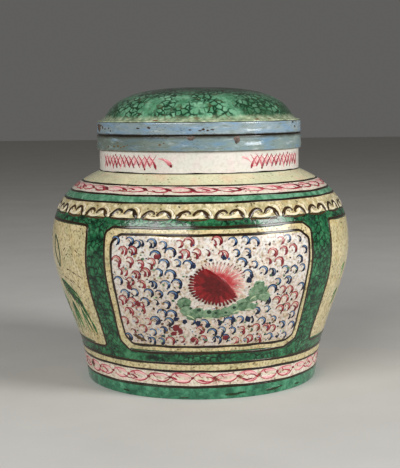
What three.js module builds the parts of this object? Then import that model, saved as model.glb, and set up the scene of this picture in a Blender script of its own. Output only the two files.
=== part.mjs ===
// A squat covered jar in painted enamel on copper sheet: a full-bellied body on a low foot ring, a short
// straight neck with a collar, an upright lip inside the mouth, and a domed cover whose rim drops over the lip.
// Every piece is raised or bent from sheet and turned about the jar's upright axis. Millimetres, +Z up, with
// the origin at the centre of the face that the jar stands on.
import * as THREE from "three";

// Driving dimensions. Radii are to the outside of a piece.
const sheet = 1.6; // copper with its enamel on both faces
const thinSheet = 1.2; // of the floor and of the lip
const seam = 0.1; // solder line between two fixed pieces, and the gap left under the resting cover
const easing = 0.5; // how far a worn, enamelled edge is rounded each way

const footHeight = 6;
const footRadius = 57.4; // where it stands
const footFlare = 0.9; // how much wider it is at its top
const footFlange = 4; // turned in at the top, for the wall and the floor to be soldered to

const bellyRadius = 74;
const bellyHeight = 67;
const footPull = 0.319; // how far an end of a curve runs straight on, as a share of the curve's rise
const underBellyPull = 0.299;
const overBellyPull = 0.591;
const neckPull = 0.679; // as a share of the shoulder's run in to the neck
const footLean = 86; // degrees above the horizontal at which the wall leaves the foot
const shoulderSlope = 24; // degrees below the horizontal at which the shoulder leaves the neck

const neckRadius = 49.6;
const neckFootHeight = 103.2; // where the shoulder meets it
const neckRise = 17.7; // from there up to the seat that the cover rests on
const collarHeight = 7.4;
const collarThickness = 1.15;
const lipRise = 4; // above the seat
const lipDepth = 11; // below the seat, soldered inside the neck

const coverPlay = 0.5; // all round between the lip and the cover's hem
const rimSetback = 0.2; // how far the rim stands inside the collar's face
const lipHeadroom = 1; // between the top of the lip and the rim's ledge
const hemHeight = 1.3; // of the edge turned in along the bottom of the rim
const domeStep = 3.1; // from the rim's face in to the dome's foot
const coveSetback = 0.4; // from the rim's face in to the edge of the cove round the dome's foot
const coveEdge = 0.4;
const domeRise = 16.4;
const domeLean = 71.5; // degrees above the horizontal at which the dome leaves the rim
const domeFootPull = 0.848; // as a share of the dome's rise
const crownPull = 0.566; // as a share of the dome's radius

// How finely the curves are cut.
const turnSegments = 72;
const wallSteps = 10;
const shoulderSteps = 8;
const domeSteps = 9;
const coveSteps = 3;
const easeSteps = 2;

// Where neighbouring pieces meet.
const wallFootRadius = footRadius + footFlare;
const floorHeight = footHeight + seam;
const seatHeight = neckFootHeight + neckRise;
const lipRadius = neckRadius - sheet - seam;
const rimRadius = neckRadius + seam + collarThickness - rimSetback;
const rimHeight = lipRise - seam + lipHeadroom + thinSheet;
const domeRadius = rimRadius - domeStep;

const enamel = (name, color, roughness) =>
  new THREE.MeshStandardMaterial({ name, color, roughness, metalness: 0 });
const greenGround = enamel("green_ground", "#3c7f5f", 0.3);
const greenFoot = enamel("green_foot", "#2f8060", 0.35);
const blueBand = enamel("blue_band", "#8299b4", 0.3);
const whiteNeck = enamel("white_neck", "#e6dfd6", 0.3);
const whiteFloor = enamel("white_floor", "#dcd8cc", 0.4);
const bareCopper = new THREE.MeshStandardMaterial({
  name: "bare_copper",
  color: "#8a5a3c",
  roughness: 0.45,
  metalness: 1,
});

const at = (radius, height) => new THREE.Vector2(radius, height);

// A point that lies a distance from another, at an angle above the horizontal, in degrees.
function reach(from, distance, degrees) {
  const angle = THREE.MathUtils.degToRad(degrees);
  return at(from.x + distance * Math.cos(angle), from.y + distance * Math.sin(angle));
}

// A section from its corners, each [radius, height], or [radius, height, ease] where it is rounded that far.
function sectionOf(corners) {
  const points = corners.map(([radius, height]) => at(radius, height));
  return corners.flatMap(([, , ease], i) => {
    const corner = points[i];
    if (!ease) return [corner];
    const towards = (neighbour) => neighbour.clone().sub(corner).setLength(ease).add(corner);
    const start = towards(points.at(i - 1));
    const end = towards(points[(i + 1) % points.length]);
    return new THREE.QuadraticBezierCurve(start, corner, end).getPoints(easeSteps);
  });
}

// The inner face of a sheet whose outer face is this outline, followed from its foot up: each point moves in,
// square to the outline.
function innerFace(outline) {
  return outline.map((point, i) => {
    const before = outline[Math.max(i - 1, 0)];
    const after = outline[Math.min(i + 1, outline.length - 1)];
    const along = after.clone().sub(before).normalize();
    return at(point.x - along.y * sheet, point.y + along.x * sheet);
  });
}

// The width of the sheet's edge where it is cut level, and its height where it is cut upright, between two
// neighbouring points of its outline.
const levelEdge = (from, to) => (sheet * from.distanceTo(to)) / Math.abs(to.y - from.y);
const uprightEdge = (from, to) => (sheet * from.distanceTo(to)) / Math.abs(to.x - from.x);

// A solid of revolution. Its section starts and ends on the axis, or is closed back to its first point.
function turned(name, section, material) {
  const profile = section[0].x === 0 ? section : [...section, section[0]];
  const geometry = new THREE.LatheGeometry(profile, turnSegments);
  geometry.rotateX(Math.PI / 2);
  const mesh = new THREE.Mesh(geometry, material);
  mesh.name = name;
  return mesh;
}

// A strip bent round, with its top turned in as a flange.
function footRing() {
  const flangeRadius = wallFootRadius - sheet - footFlange;
  const section = sectionOf([
    [footRadius - sheet, 0, easing],
    [footRadius, 0, easing],
    [wallFootRadius, footHeight],
    [flangeRadius, footHeight],
    [flangeRadius, footHeight - thinSheet],
    [wallFootRadius - sheet, footHeight - thinSheet],
  ]);
  return turned("foot_ring", section, greenFoot);
}

function floorPlate() {
  const radius = wallFootRadius - sheet - 2 * seam;
  const section = sectionOf([
    [0, floorHeight],
    [radius, floorHeight],
    [radius, floorHeight + thinSheet],
    [0, floorHeight + thinSheet],
  ]);
  return turned("floor_plate", section, whiteFloor);
}

// The wall leans out from the foot to the belly, and the shoulder turns over from there to a flat cone that
// meets the neck.
function body() {
  const foot = at(wallFootRadius, floorHeight);
  const belly = at(bellyRadius, bellyHeight);
  const neckFoot = at(neckRadius + seam, neckFootHeight);
  const wall = new THREE.CubicBezierCurve(
    foot,
    reach(foot, footPull * (belly.y - foot.y), footLean),
    reach(belly, underBellyPull * (belly.y - foot.y), -90),
    belly,
  );
  const shoulder = new THREE.CubicBezierCurve(
    belly,
    reach(belly, overBellyPull * (neckFoot.y - belly.y), 90),
    reach(neckFoot, neckPull * (belly.x - neckFoot.x), -shoulderSlope),
    neckFoot,
  );
  const outer = [...wall.getPoints(wallSteps), ...shoulder.getPoints(shoulderSteps).slice(1)];
  const inner = innerFace(outer).filter((point) => point.x > neckFoot.x);
  inner[0] = at(foot.x - levelEdge(foot, outer[1]), foot.y);
  inner.push(at(neckFoot.x, neckFoot.y - uprightEdge(outer.at(-2), neckFoot)));
  return turned("body", [...outer, ...inner.reverse()], greenGround);
}

function neck() {
  const section = sectionOf([
    [neckRadius - sheet, neckFootHeight - sheet],
    [neckRadius, neckFootHeight - sheet],
    [neckRadius, seatHeight],
    [neckRadius - sheet, seatHeight],
  ]);
  return turned("neck", section, whiteNeck);
}

// A flat band round the top of the neck, flush with it: the two make the seat for the cover.
function neckCollar() {
  const inside = neckRadius + seam;
  const outside = inside + collarThickness;
  const section = sectionOf([
    [inside, seatHeight - collarHeight],
    [outside, seatHeight - collarHeight, easing],
    [outside, seatHeight, easing],
    [inside, seatHeight],
  ]);
  return turned("neck_collar", section, blueBand);
}

// The upright lip that keeps the cover in place, soldered inside the neck.
function mouthLip() {
  const section = sectionOf([
    [lipRadius - thinSheet, seatHeight - lipDepth],
    [lipRadius, seatHeight - lipDepth],
    [lipRadius, seatHeight + lipRise, easing],
    [lipRadius - thinSheet, seatHeight + lipRise, easing],
  ]);
  return turned("mouth_lip", section, bareCopper);
}

// The cover's rim, with heights above the rim's own foot: a strip whose top turns in as a ledge for the dome,
// and whose bottom turns in as a hem that runs down round the lip.
function coverRim() {
  const hemRadius = lipRadius + coverPlay;
  const ledgeRadius = domeRadius - sheet;
  const section = sectionOf([
    [hemRadius, 0],
    [rimRadius, 0, easing],
    [rimRadius, rimHeight, easing],
    [ledgeRadius, rimHeight],
    [ledgeRadius, rimHeight - thinSheet],
    [rimRadius - sheet, rimHeight - thinSheet],
    [rimRadius - sheet, hemHeight],
    [hemRadius, hemHeight],
  ]);
  return turned("cover_rim", section, blueBand);
}

// The dome, raised from one sheet, steep at its foot and almost flat at its crown. Its foot is turned out over
// the rim's ledge in a small cove, filled behind with solder.
function coverDome() {
  const foot = at(domeRadius, rimHeight + seam);
  const crown = at(0, foot.y + domeRise);
  const arch = new THREE.CubicBezierCurve(
    foot,
    reach(foot, domeFootPull * domeRise, 180 - domeLean),
    reach(crown, crownPull * domeRadius, 0),
    crown,
  );
  const outer = arch.getPoints(domeSteps);
  const inner = innerFace(outer);
  inner[0] = at(foot.x - levelEdge(foot, outer[1]), foot.y);
  inner[domeSteps] = at(0, crown.y - sheet);
  const edgeFoot = at(rimRadius - coveSetback, foot.y);
  const edgeTop = at(edgeFoot.x, foot.y + coveEdge);
  const cove = new THREE.QuadraticBezierCurve(edgeTop, at(foot.x, edgeTop.y), outer[1]).getPoints(coveSteps);
  return turned("cover_dome", [...inner.reverse(), edgeFoot, ...cove, ...outer.slice(2)], greenGround);
}

const jar = new THREE.Group();
jar.add(footRing(), floorPlate(), body(), neck(), neckCollar(), mouthLip());

const cover = new THREE.Group();
cover.position.z = seatHeight + seam;
cover.add(coverRim(), coverDome());

const coveredJar = new THREE.Group();
coveredJar.add(jar, cover);

export default coveredJar;
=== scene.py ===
"""Looks of a squat covered jar in painted enamel on copper sheet.

Each turned piece of the jar becomes a fine shell with the slight unevenness of raised sheet. The fields of
coloured enamel lie on the shells as thin layers, and every brush stroke is a thin raised ribbon of enamel.
What is painted is first drawn flat, in millimetres, and then laid round the jar.
"""
import math

import bmesh
import bpy
import numpy as np
from mathutils import Matrix, Vector


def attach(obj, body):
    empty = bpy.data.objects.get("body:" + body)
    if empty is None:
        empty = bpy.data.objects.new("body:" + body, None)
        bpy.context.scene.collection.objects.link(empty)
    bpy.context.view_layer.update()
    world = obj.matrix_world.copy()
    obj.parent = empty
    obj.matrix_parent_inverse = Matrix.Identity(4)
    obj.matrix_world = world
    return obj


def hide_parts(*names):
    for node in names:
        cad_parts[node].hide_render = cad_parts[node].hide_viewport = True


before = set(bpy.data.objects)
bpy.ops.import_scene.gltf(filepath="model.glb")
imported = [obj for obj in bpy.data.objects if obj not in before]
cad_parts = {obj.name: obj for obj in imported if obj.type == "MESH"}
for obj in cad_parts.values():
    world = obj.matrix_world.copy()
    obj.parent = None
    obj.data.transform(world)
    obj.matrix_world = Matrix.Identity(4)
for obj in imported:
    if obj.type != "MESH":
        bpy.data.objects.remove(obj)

# A start scene of Blender's own has objects in it, which would count as pieces of the jar.
for default in ("Cube", "Light", "Camera"):
    if default in bpy.data.objects:
        bpy.data.objects.remove(bpy.data.objects[default])
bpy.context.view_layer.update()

# Sizes are in millimetres and angles in degrees. An angle round the jar is counted from the front, towards
# the right. A run is a length followed up a piece's outline from its foot.
MM = 0.001
TURN_STEPS = 240
TURN_PAIRS = [(i, (i + 1) % TURN_STEPS) for i in range(TURN_STEPS)]
OUTLINE_STEP = 1.1
SINK = 0.15  # how deep a layer or a stroke reaches into what it lies on
BAND_STEP = 1.5  # between the rows of a band of enamel
PANEL_STEPS = 56  # rows and columns of a panel's ground
FLAT_RADIUS = 70.0  # a drawing laid on the body keeps its width where the body has this radius

# Heights of the enamel above the shell.
GROUND = 0.06
PANEL_GROUND = 0.09
LINE = 0.12

# The dark lines between the bands of the body: the run of each, and how far its painter let it climb towards
# the right.
BAND_FOOT = (0.2, 0.0)
LOW_SCROLL_TOP = (7.7, -0.4)
LOW_CREAM_TOP = (11.5, -0.1)
CURL_FOOT = (81.6, 0.1)
CURL_TOP = (89.3, 0.6)
GREEN_BAND_TOP = (93.35, 0.0)
HIGH_SCROLL_TOP = (100.25, 0.1)
SHOULDER_TOP = (110.6, 0.0)

# The four panels take a quarter of the round each. The corners of the front panel's two outlines, and of the
# plain outline of a side panel, are angles from the panel's middle and runs.
FRONT_ANGLE = 4.4
PANEL_OUTER = (
    (-37.0, 77.3), (-22.0, 77.2), (-6.0, 77.6), (35.6, 77.7), (39.2, 74.2), (39.8, 20.4),
    (33.4, 16.8), (-36.8, 17.1), (-40.6, 21.4), (-40.1, 74.4),
)
PANEL_INNER = (
    (-33.6, 74.1), (-20.0, 74.3), (-5.0, 74.0), (33.8, 74.2), (37.5, 70.6), (37.2, 23.0),
    (33.6, 20.5), (-5.0, 20.3), (-34.4, 20.6), (-37.2, 24.6), (-37.2, 70.0),
)
SIDE_PANEL = ((-38.4, 77.6), (40.2, 76.6), (39.4, 17.0), (-38.0, 17.2))
PANEL_MIDDLE = 47.5  # the run of the middle of a panel


def linear(code, alpha=1.0):
    """A colour written as sRGB hex, as the linear values that a shader takes."""
    parts = [int(code[i : i + 2], 16) / 255 for i in (1, 3, 5)]
    return [c / 12.92 if c <= 0.04045 else ((c + 0.055) / 1.055) ** 2.4 for c in parts] + [alpha]


def add(tree, kind, inputs=(), stops=(), **settings):
    """Adds a node with its settings and links.

    Its inputs are given in order, or by name: each is a value, the socket it is linked from, or a node, which
    stands for its first output. Stops are a ramp's places and colours."""
    made = tree.nodes.new(kind)
    for name, value in settings.items():
        setattr(made, name, value)
    for key, value in inputs.items() if isinstance(inputs, dict) else enumerate(inputs):
        if isinstance(value, bpy.types.Node):
            value = value.outputs[0]
        if isinstance(value, bpy.types.NodeSocket):
            tree.links.new(value, made.inputs[key])
        else:
            made.inputs[key].default_value = value
    for i, (at, colour) in enumerate(stops):
        element = made.color_ramp.elements[i] if i < 2 else made.color_ramp.elements.new(at)
        element.position, element.color = at, linear(colour)
    return made


SOFT = {"interpolation_type": "SMOOTHSTEP"}  # how a range is mapped where an edge fades

# Turned forms


def section_of(name):
    """The half section of a turned node, as (radius, height) corners, in the order of its outline."""
    solid = bmesh.new()
    solid.from_mesh(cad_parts[name].data)
    bmesh.ops.remove_doubles(solid, verts=solid.verts, dist=1e-6)
    tiny = 1e-5
    front = {v for v in solid.verts if abs(v.co.x) < tiny and v.co.y < tiny}
    beside = {v: [e.other_vert(v) for e in v.link_edges if e.other_vert(v) in front] for v in front}
    on_axis = [v for v in front if v.co.y > -tiny]
    line = [min(on_axis or front, key=lambda v: (round(v.co.z, 6), v.co.y))]
    while onward := [v for v in beside[line[-1]] if v not in line]:
        line.append(onward[0])
    corners = np.array([(max(-v.co.y, 0) / MM, v.co.z / MM) for v in line])
    solid.free()
    return corners


def faces_of(name):
    """A sheet node's outer face, from its foot up, and the rest of its section, from there back down."""
    corners = section_of(name)
    foot = min(range(len(corners)), key=lambda i: (round(corners[i][1], 2), -corners[i][0]))
    loop = np.roll(corners, -foot, axis=0)
    if loop[1][1] < loop[-1][1]:
        loop = np.roll(loop[::-1], 1, axis=0)
    top = int(loop[:, 1].argmax())
    return loop[: top + 1], loop[top + 1 :]


def smooth(corners, step=OUTLINE_STEP):
    """Points close together on a smooth line through these corners."""
    corners = np.asarray(corners, float)
    before = np.vstack([2 * corners[0] - corners[1], corners, 2 * corners[-1] - corners[-2]])
    points = [corners[0]]
    for a, b, c, d in zip(before, before[1:], before[2:], before[3:]):
        gaps = [max(np.linalg.norm(q - p), 1e-9) ** 0.5 for p, q in ((a, b), (b, c), (c, d))]
        knots = np.cumsum([0] + gaps)
        count = max(1, math.ceil(np.linalg.norm(c - b) / step))
        for t in np.linspace(knots[1], knots[2], count + 1)[1:]:
            mix = lambda p, q, i, j: (p * (knots[j] - t) + q * (t - knots[i])) / (knots[j] - knots[i])
            ab, bc, cd = mix(a, b, 0, 1), mix(b, c, 1, 2), mix(c, d, 2, 3)
            points.append(mix(mix(ab, bc, 0, 2), mix(bc, cd, 1, 3), 1, 2))
    return np.array(points)


# How far the raised sheet strays from a true turned form, as waves round the jar: how many, how deep, where
# they start and how fast they turn with height.
WAVES = ((2, 0.16, 0.7, 0.010), (3, 0.09, 2.1, 0.030), (5, 0.05, 4.0, 0.050), (12, 0.02, 1.3, 0.150))
CALM_RADIUS = 30.0  # the waves die out towards the axis from here


def bent(angle, radius, height):
    """The place of a point of a turned form on the uneven sheet."""
    turn = np.radians(angle)
    stray = sum(depth * np.sin(count * turn + start + pace * height) for count, depth, start, pace in WAVES)
    radius = radius + stray * np.clip(radius / CALM_RADIUS, 0, 1)
    return np.stack([radius * np.sin(turn), -radius * np.cos(turn), height + 0 * turn], -1)


class Skin:
    """The outer face of a turned piece, for what is laid on it."""

    def __init__(self, outline):
        along = np.gradient(outline, axis=0)
        along /= np.linalg.norm(along, axis=1)[:, None]
        steps = np.linalg.norm(np.diff(outline, axis=0), axis=1)
        self.runs = np.concatenate([[0], np.cumsum(steps)])
        self.columns = (outline[:, 0], outline[:, 1], along[:, 1], -along[:, 0])
        self.length = self.runs[-1]

    def radius(self, run):
        return float(np.interp(run, self.runs, self.columns[0]))

    def place(self, angle, run, lift):
        radius, height, out, up = (np.interp(run, self.runs, column) for column in self.columns)
        return bent(angle, radius + out * lift, height + up * lift)


def shade_points(mesh, shades):
    """Stores how pale a brush stroke is at each point, for its material."""
    stored = mesh.attributes.new("shade", "FLOAT", "POINT")
    stored.data.foreach_set("value", np.array(shades, np.float32))


def finished(name, mesh, material, body, replaces=(), crease=40):
    """A finished piece from its mesh."""
    mesh.materials.clear()
    mesh.materials.append(material)
    mesh.shade_smooth()
    mesh.set_sharp_from_angle(angle=math.radians(crease))
    made = bpy.data.objects.new(name, mesh)
    bpy.context.scene.collection.objects.link(made)
    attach(made, body)
    if replaces:
        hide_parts(*replaces)
    return made


def piece(name, points, faces, material, body, replaces=(), crease=40, shades=()):
    """A finished piece from points in millimetres."""
    mesh = bpy.data.meshes.new(name)
    mesh.from_pydata((np.asarray(points) * MM).tolist(), [], faces)
    if len(shades):
        shade_points(mesh, shades)
    return finished(name, mesh, material, body, replaces, crease)


def turned(section):
    """A closed shell turned from a section, whose ends may lie on the axis."""
    section = np.asarray(section, float)
    closed = section[0][0] > 1e-6
    angles = np.arange(TURN_STEPS) * 360 / TURN_STEPS
    rows = section if closed else section[1:-1]
    points = bent(angles[None, :], rows[:, :1], rows[:, 1:]).reshape(-1, 3).tolist()
    count = len(rows)
    faces = []
    for i in range(count if closed else count - 1):
        a, b = i * TURN_STEPS, (i + 1) % count * TURN_STEPS
        faces += [(a + j, a + k, b + k, b + j) for j, k in TURN_PAIRS]
    if not closed:
        first, last = len(points), len(points) + 1
        points += [[0, 0, section[0][1]], [0, 0, section[-1][1]]]
        end = (count - 1) * TURN_STEPS
        for j, k in TURN_PAIRS:
            faces += [(first, k, j), (last, end + j, end + k)]
    return points, faces


def outward(points, faces):
    """The faces, turned round if the closed shape they make is inside out."""
    points = np.asarray(points)
    volume = 0
    for face in faces:
        for b, c in zip(face[1:], face[2:]):
            volume += np.dot(points[face[0]], np.cross(points[b], points[c]))
    return faces if volume > 0 else [face[::-1] for face in faces]


def shell(name, section, material, body, replaces=()):
    points, faces = turned(section)
    return piece(name, points, outward(points, faces), material, body, replaces)


# Layers of enamel


def layer(name, skin, angles, runs, ring, top, material, body):
    """A thin layer over a grid of angles and runs, with its rows from the lowest up."""
    rows, columns = angles.shape
    upper = skin.place(angles, runs, top)
    lower = skin.place(angles, runs, -SINK)
    points = np.concatenate([upper.reshape(-1, 3), lower.reshape(-1, 3)])
    under = rows * columns
    last = columns if ring else columns - 1
    faces = []
    for i in range(rows - 1):
        for j in range(last):
            k = (j + 1) % columns
            a, b, c, d = i * columns + j, i * columns + k, (i + 1) * columns + k, (i + 1) * columns + j
            faces += [(a, b, c, d), (d + under, c + under, b + under, a + under)]
    for row, turn in ((0, 1), (rows - 1, -1)):
        for j in range(last):
            a, b = row * columns + j, row * columns + (j + 1) % columns
            faces.append((a, a + under, b + under, b)[::turn])
    if not ring:
        for column, turn in ((0, -1), (columns - 1, 1)):
            for i in range(rows - 1):
                a, b = i * columns + column, (i + 1) * columns + column
                faces.append((a, a + under, b + under, b)[::turn])
    return piece(name, points, faces, material, body)


def edge_run(edge, angles):
    run, climb = edge
    return run + climb * np.sin(np.radians(angles))


def band(name, skin, low, high, top, material, body, slot):
    """A layer all round, between two edges."""
    rows = max(3, math.ceil((high[0] - low[0]) / BAND_STEP))
    share = np.linspace(0, 1, rows)[:, None]
    angles = np.arange(TURN_STEPS)[None, :] * 360 / TURN_STEPS + 0 * share
    runs = edge_run(low, angles) * (1 - share) + edge_run(high, angles) * share
    return layer(name, skin, angles, runs, True, top, material, body)


def panel(name, skin, outline, middle, top, material, body, slot):
    """A layer that fills an outline."""
    lowest, highest = min(run for _, run in outline), max(run for _, run in outline)
    rows = []
    for run in np.linspace(lowest + 0.1, highest - 0.1, PANEL_STEPS):
        crossed = [
            a + (b - a) * (run - p) / (q - p)
            for (a, p), (b, q) in zip(outline, outline[1:] + outline[:1])
            if (p - run) * (q - run) < 0
        ]
        rows.append((run, min(crossed), max(crossed)))
    runs, left, right = (np.array(column)[:, None] for column in zip(*rows))
    share = np.linspace(0, 1, PANEL_STEPS)
    angles = middle + left * (1 - share) + right * share
    return layer(name, skin, angles, runs + 0 * share, False, top, material, body)


# Brush strokes


def press_even(t):
    return np.clip(np.minimum(t, 1 - t) * 14, 0.3, 1)


def press_tapered(t):
    return np.sin(np.pi * np.clip(t, 0.02, 0.98)) ** 0.6


def press_comma(t):
    """Touched down lightly, then pressed, and lifted at once."""
    return (0.2 + 0.8 * np.clip(t * 1.3, 0, 1) ** 1.2) * np.clip((1 - t) * 8, 0.3, 1)


def press_tail(t):
    """Pressed at once, and drawn out thin."""
    return press_comma(1 - t)


def press_leaf(t):
    return np.sin(np.pi * np.clip(t, 0.012, 0.985) ** 0.75)


def press_curl(t):
    """Half pressed at first, and fully at the end, where the brush stops short."""
    return (0.5 + 0.5 * t) * np.clip((1 - t) * 7, 0.5, 1)


def arched(start, end, rise, aside=0.0):
    """A path from start to end by way of a point a little off their middle."""
    return [start, ((start[0] + end[0]) / 2 + aside, (start[1] + end[1]) / 2 + rise), end]


# Sections across a stroke, from its right edge to its left: how far aside, which share of its height, and how
# much paler. An edge without a height is sunk.
PLAIN = ((1, None, 0), (0.8, 1, 0), (-0.8, 1, 0), (-1, None, 0))
LINED = ((1, None, 0.6), (0.86, 0.8, 0.5), (0.52, 1, 0), (-0.52, 1, 0), (-0.86, 0.8, 0.5), (-1, None, 0.6))
WASHED = ((1, None, 0), (0.7, 0.9, 0), (0.5, 0.8, 0.65), (0.16, 0.8, 0.65), (-0.05, 1, 0), (-1, None, 0))


class Drawing:
    """Strokes and dabs of enamel, drawn flat: x to the right, y up the jar, z out of what they lie on."""

    def __init__(self, seed=0):
        self.random = np.random.default_rng(seed)
        self.points = []
        self.faces = []
        self.shades = []

    def stroke(self, path, width, press=press_tapered, crown=0.1, shade=0.5, section=PLAIN, fill=None,
               step=0.7, waver=0.0, closed=False):
        """A ribbon along a smooth path. A shade runs from 0, dark, to 1, pale."""
        line = smooth(path, step)
        if closed:
            line = line[:-1]
        along = np.roll(line, -1, 0) - np.roll(line, 1, 0) if closed else np.gradient(line, axis=0)
        along /= np.linalg.norm(along, axis=1)[:, None]
        side = np.stack([along[:, 1], -along[:, 0]], 1)
        t = np.linspace(0, 1, len(line))
        if waver:
            turns, starts = self.random.integers(4, 24, 5), self.random.uniform(0, 6.3, 5)
            sway = sum(np.sin(2 * np.pi * turn * t + start) for turn, start in zip(turns, starts)) / 2.2
            line = line + side * (sway * waver)[:, None]
            width = width * (1 + 0.12 * np.roll(sway, len(t) // 3))[:, None]
        half = (np.full(len(line), 0.5) if closed else press(t) / 2)[:, None] * width
        amount = fill(t) if fill else np.ones(len(t))
        shade = shade(t) if callable(shade) else np.full(len(t), shade)
        first, count, sides = len(self.points), len(line), len(section)
        for across, height, paler in section:
            lift = -SINK if height is None else crown * height
            flat = line + side * half * across
            self.points += [(x, y, lift) for x, y in flat]
            self.shades += list(shade + paler * amount)
        for i in range(count if closed else count - 1):
            j = (i + 1) % count
            for corner in range(sides):
                a, b = first + corner * count, first + (corner + 1) % sides * count
                self.faces.append((a + i, b + i, b + j, a + j))
        if not closed:
            self.faces.append(tuple(first + a * count for a in reversed(range(sides))))
            self.faces.append(tuple(first + a * count + count - 1 for a in range(sides)))
        return self

    def strokes(self, *rows):
        """Several strokes, each given as what a stroke takes."""
        for row in rows:
            self.stroke(*row)
        return self

    def patch(self, outline, crown=0.12, shade=0.5, heart=None, inset=0.86):
        """A filled patch, seen all from its middle, that may be darker or paler at its heart."""
        outline = np.asarray(outline, float)
        middle = outline.mean(axis=0)
        area = np.sum(outline[:, 0] * np.roll(outline[:, 1], -1) - outline[:, 1] * np.roll(outline[:, 0], -1))
        if area < 0:
            outline = outline[::-1]
        heart = shade if heart is None else heart
        count, first = len(outline), len(self.points)
        rings = (1, -SINK, shade), (inset, crown * 0.85, shade), (inset * 0.6, crown, heart)
        for size, lift, tone in rings:
            ring = middle + (outline - middle) * size
            self.points += [(x, y, lift) for x, y in ring]
            self.shades += [tone] * count
        self.points += [(middle[0], middle[1], crown), (middle[0], middle[1], -SINK)]
        self.shades += [heart, shade]
        top, bottom = first + 3 * count, first + 3 * count + 1
        for i in range(count):
            j = (i + 1) % count
            a, b, c = first, first + count, first + 2 * count
            self.faces += [(a + i, a + j, b + j, b + i), (b + i, b + j, c + j, c + i)]
            self.faces += [(c + i, c + j, top), (a + j, a + i, bottom)]
        return self

    def dab(self, centre, radii, turn=0, crown=0.12, shade=0.5, corners=14, ragged=0.0):
        """A rounded blot, whose edge may be ragged."""
        angles = np.arange(corners) * 2 * np.pi / corners
        size = 1 + ragged * self.random.uniform(-1, 1, corners)
        x, y = radii[0] * size * np.cos(angles), radii[1] * size * np.sin(angles)
        cos, sin = math.cos(math.radians(turn)), math.sin(math.radians(turn))
        outline = np.stack([centre[0] + x * cos - y * sin, centre[1] + x * sin + y * cos], 1)
        return self.patch(outline, crown, shade)

    def mesh(self, name):
        made = bpy.data.meshes.new(name)
        made.from_pydata([tuple(p) for p in self.points], [], self.faces)
        shade_points(made, self.shades)
        return made


def laid(name, mesh, skin, angle, run, lift, material, body, slot, flat_radius=FLAT_RADIUS):
    """Lays a flat drawing on a skin, with the drawing's origin at this angle and run."""
    flat = np.zeros(len(mesh.vertices) * 3)
    mesh.vertices.foreach_get("co", flat)
    x, y, z = flat.reshape(-1, 3).T
    points = skin.place(angle + np.degrees(x / flat_radius), run + y, lift + z)
    mesh.vertices.foreach_set("co", (points * MM).ravel())
    mesh.update()
    return finished(name, mesh, material, body, crease=70)


def ring_line(name, skin, edge, width, crown, material, body, slot, seed, swell=0.0, swell_angle=0.0,
              shade=0.0):
    """A line brushed round the jar, a little uneven, and wider about one angle where it swells."""
    random = np.random.default_rng(seed)
    angles = np.arange(TURN_STEPS) * 360 / TURN_STEPS
    turn = np.radians(angles)

    def uneven(low, high, counts):
        return sum(random.uniform(low, high) * np.sin(turn * k + random.uniform(0, 6)) for k in counts)

    waver = uneven(0.03, 0.09, (3, 5, 9, 17))
    share = 1 + uneven(0.04, 0.1, (4, 7, 13, 29))
    share = share * (1 + swell * np.cos(turn - math.radians(swell_angle)))
    rows, shades = [], []
    for across, height, paler in LINED:
        lift = -SINK if height is None else crown * height
        rows.append(skin.place(angles, edge_run(edge, angles) + waver + across * share * width / 2, lift))
        shades += [shade + paler] * TURN_STEPS
    points = np.concatenate(rows)
    faces = []
    for a in range(len(LINED)):
        b = (a + 1) % len(LINED)
        for j, k in TURN_PAIRS:
            faces.append((a * TURN_STEPS + j, a * TURN_STEPS + k, b * TURN_STEPS + k, b * TURN_STEPS + j))
    return piece(name, points, outward(points, faces), material, body, crease=70, shades=shades)


# Geometry node trees for what repeats


def new_tree(name, sockets):
    tree = bpy.data.node_groups.new(name, "GeometryNodeTree")
    for label, kind in sockets.items():
        tree.interface.new_socket(name=label, in_out="INPUT", socket_type="NodeSocket" + kind)
    tree.interface.new_socket(name="Geometry", in_out="OUTPUT", socket_type="NodeSocketGeometry")
    return tree, tree.nodes.new("NodeGroupInput").outputs


def copies(tree, given, points, turn, size, kept=True):
    """A copy of the motif at each point, each with a wash of its own, made real."""
    shape = add(tree, "GeometryNodeObjectInfo", {"Object": given["Motif"]})
    placed = add(tree, "GeometryNodeInstanceOnPoints", {
        "Points": points, "Selection": kept, "Instance": shape.outputs["Geometry"], "Rotation": turn,
        "Scale": size,
    })
    wash = add(tree, "FunctionNodeRandomValue", {"Seed": given["Seed"]}, data_type="FLOAT")
    stored = add(tree, "GeometryNodeStoreNamedAttribute", {
        "Geometry": placed, "Name": "wash", "Value": wash.outputs[1],
    }, data_type="FLOAT", domain="INSTANCE")
    return add(tree, "GeometryNodeRealizeInstances", (stored,))


def end_tree(tree, geometry, material):
    made = add(tree, "GeometryNodeSetMaterial", {"Geometry": geometry, "Material": material})
    add(tree, "NodeGroupOutput", (made,))
    return tree


def grown(tree, values):
    """What a tree makes with these inputs, as a plain mesh."""
    holder = bpy.data.objects.new("holder", bpy.data.meshes.new("holder"))
    bpy.context.scene.collection.objects.link(holder)
    modifier = holder.modifiers.new("tree", "NODES")
    modifier.node_group = tree
    for socket in tree.interface.items_tree:
        if socket.in_out == "INPUT":
            modifier[socket.identifier] = values[socket.name]
    graph = bpy.context.evaluated_depsgraph_get()
    made = bpy.data.meshes.new_from_object(holder.evaluated_get(graph))
    bpy.data.objects.remove(holder)
    return made


MOTIFS = []  # shapes for the trees to repeat, removed at the end


def motif(drawing, name):
    made = bpy.data.objects.new(name, drawing.mesh(name))
    bpy.context.scene.collection.objects.link(made)
    MOTIFS.append(made)
    return made


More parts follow.
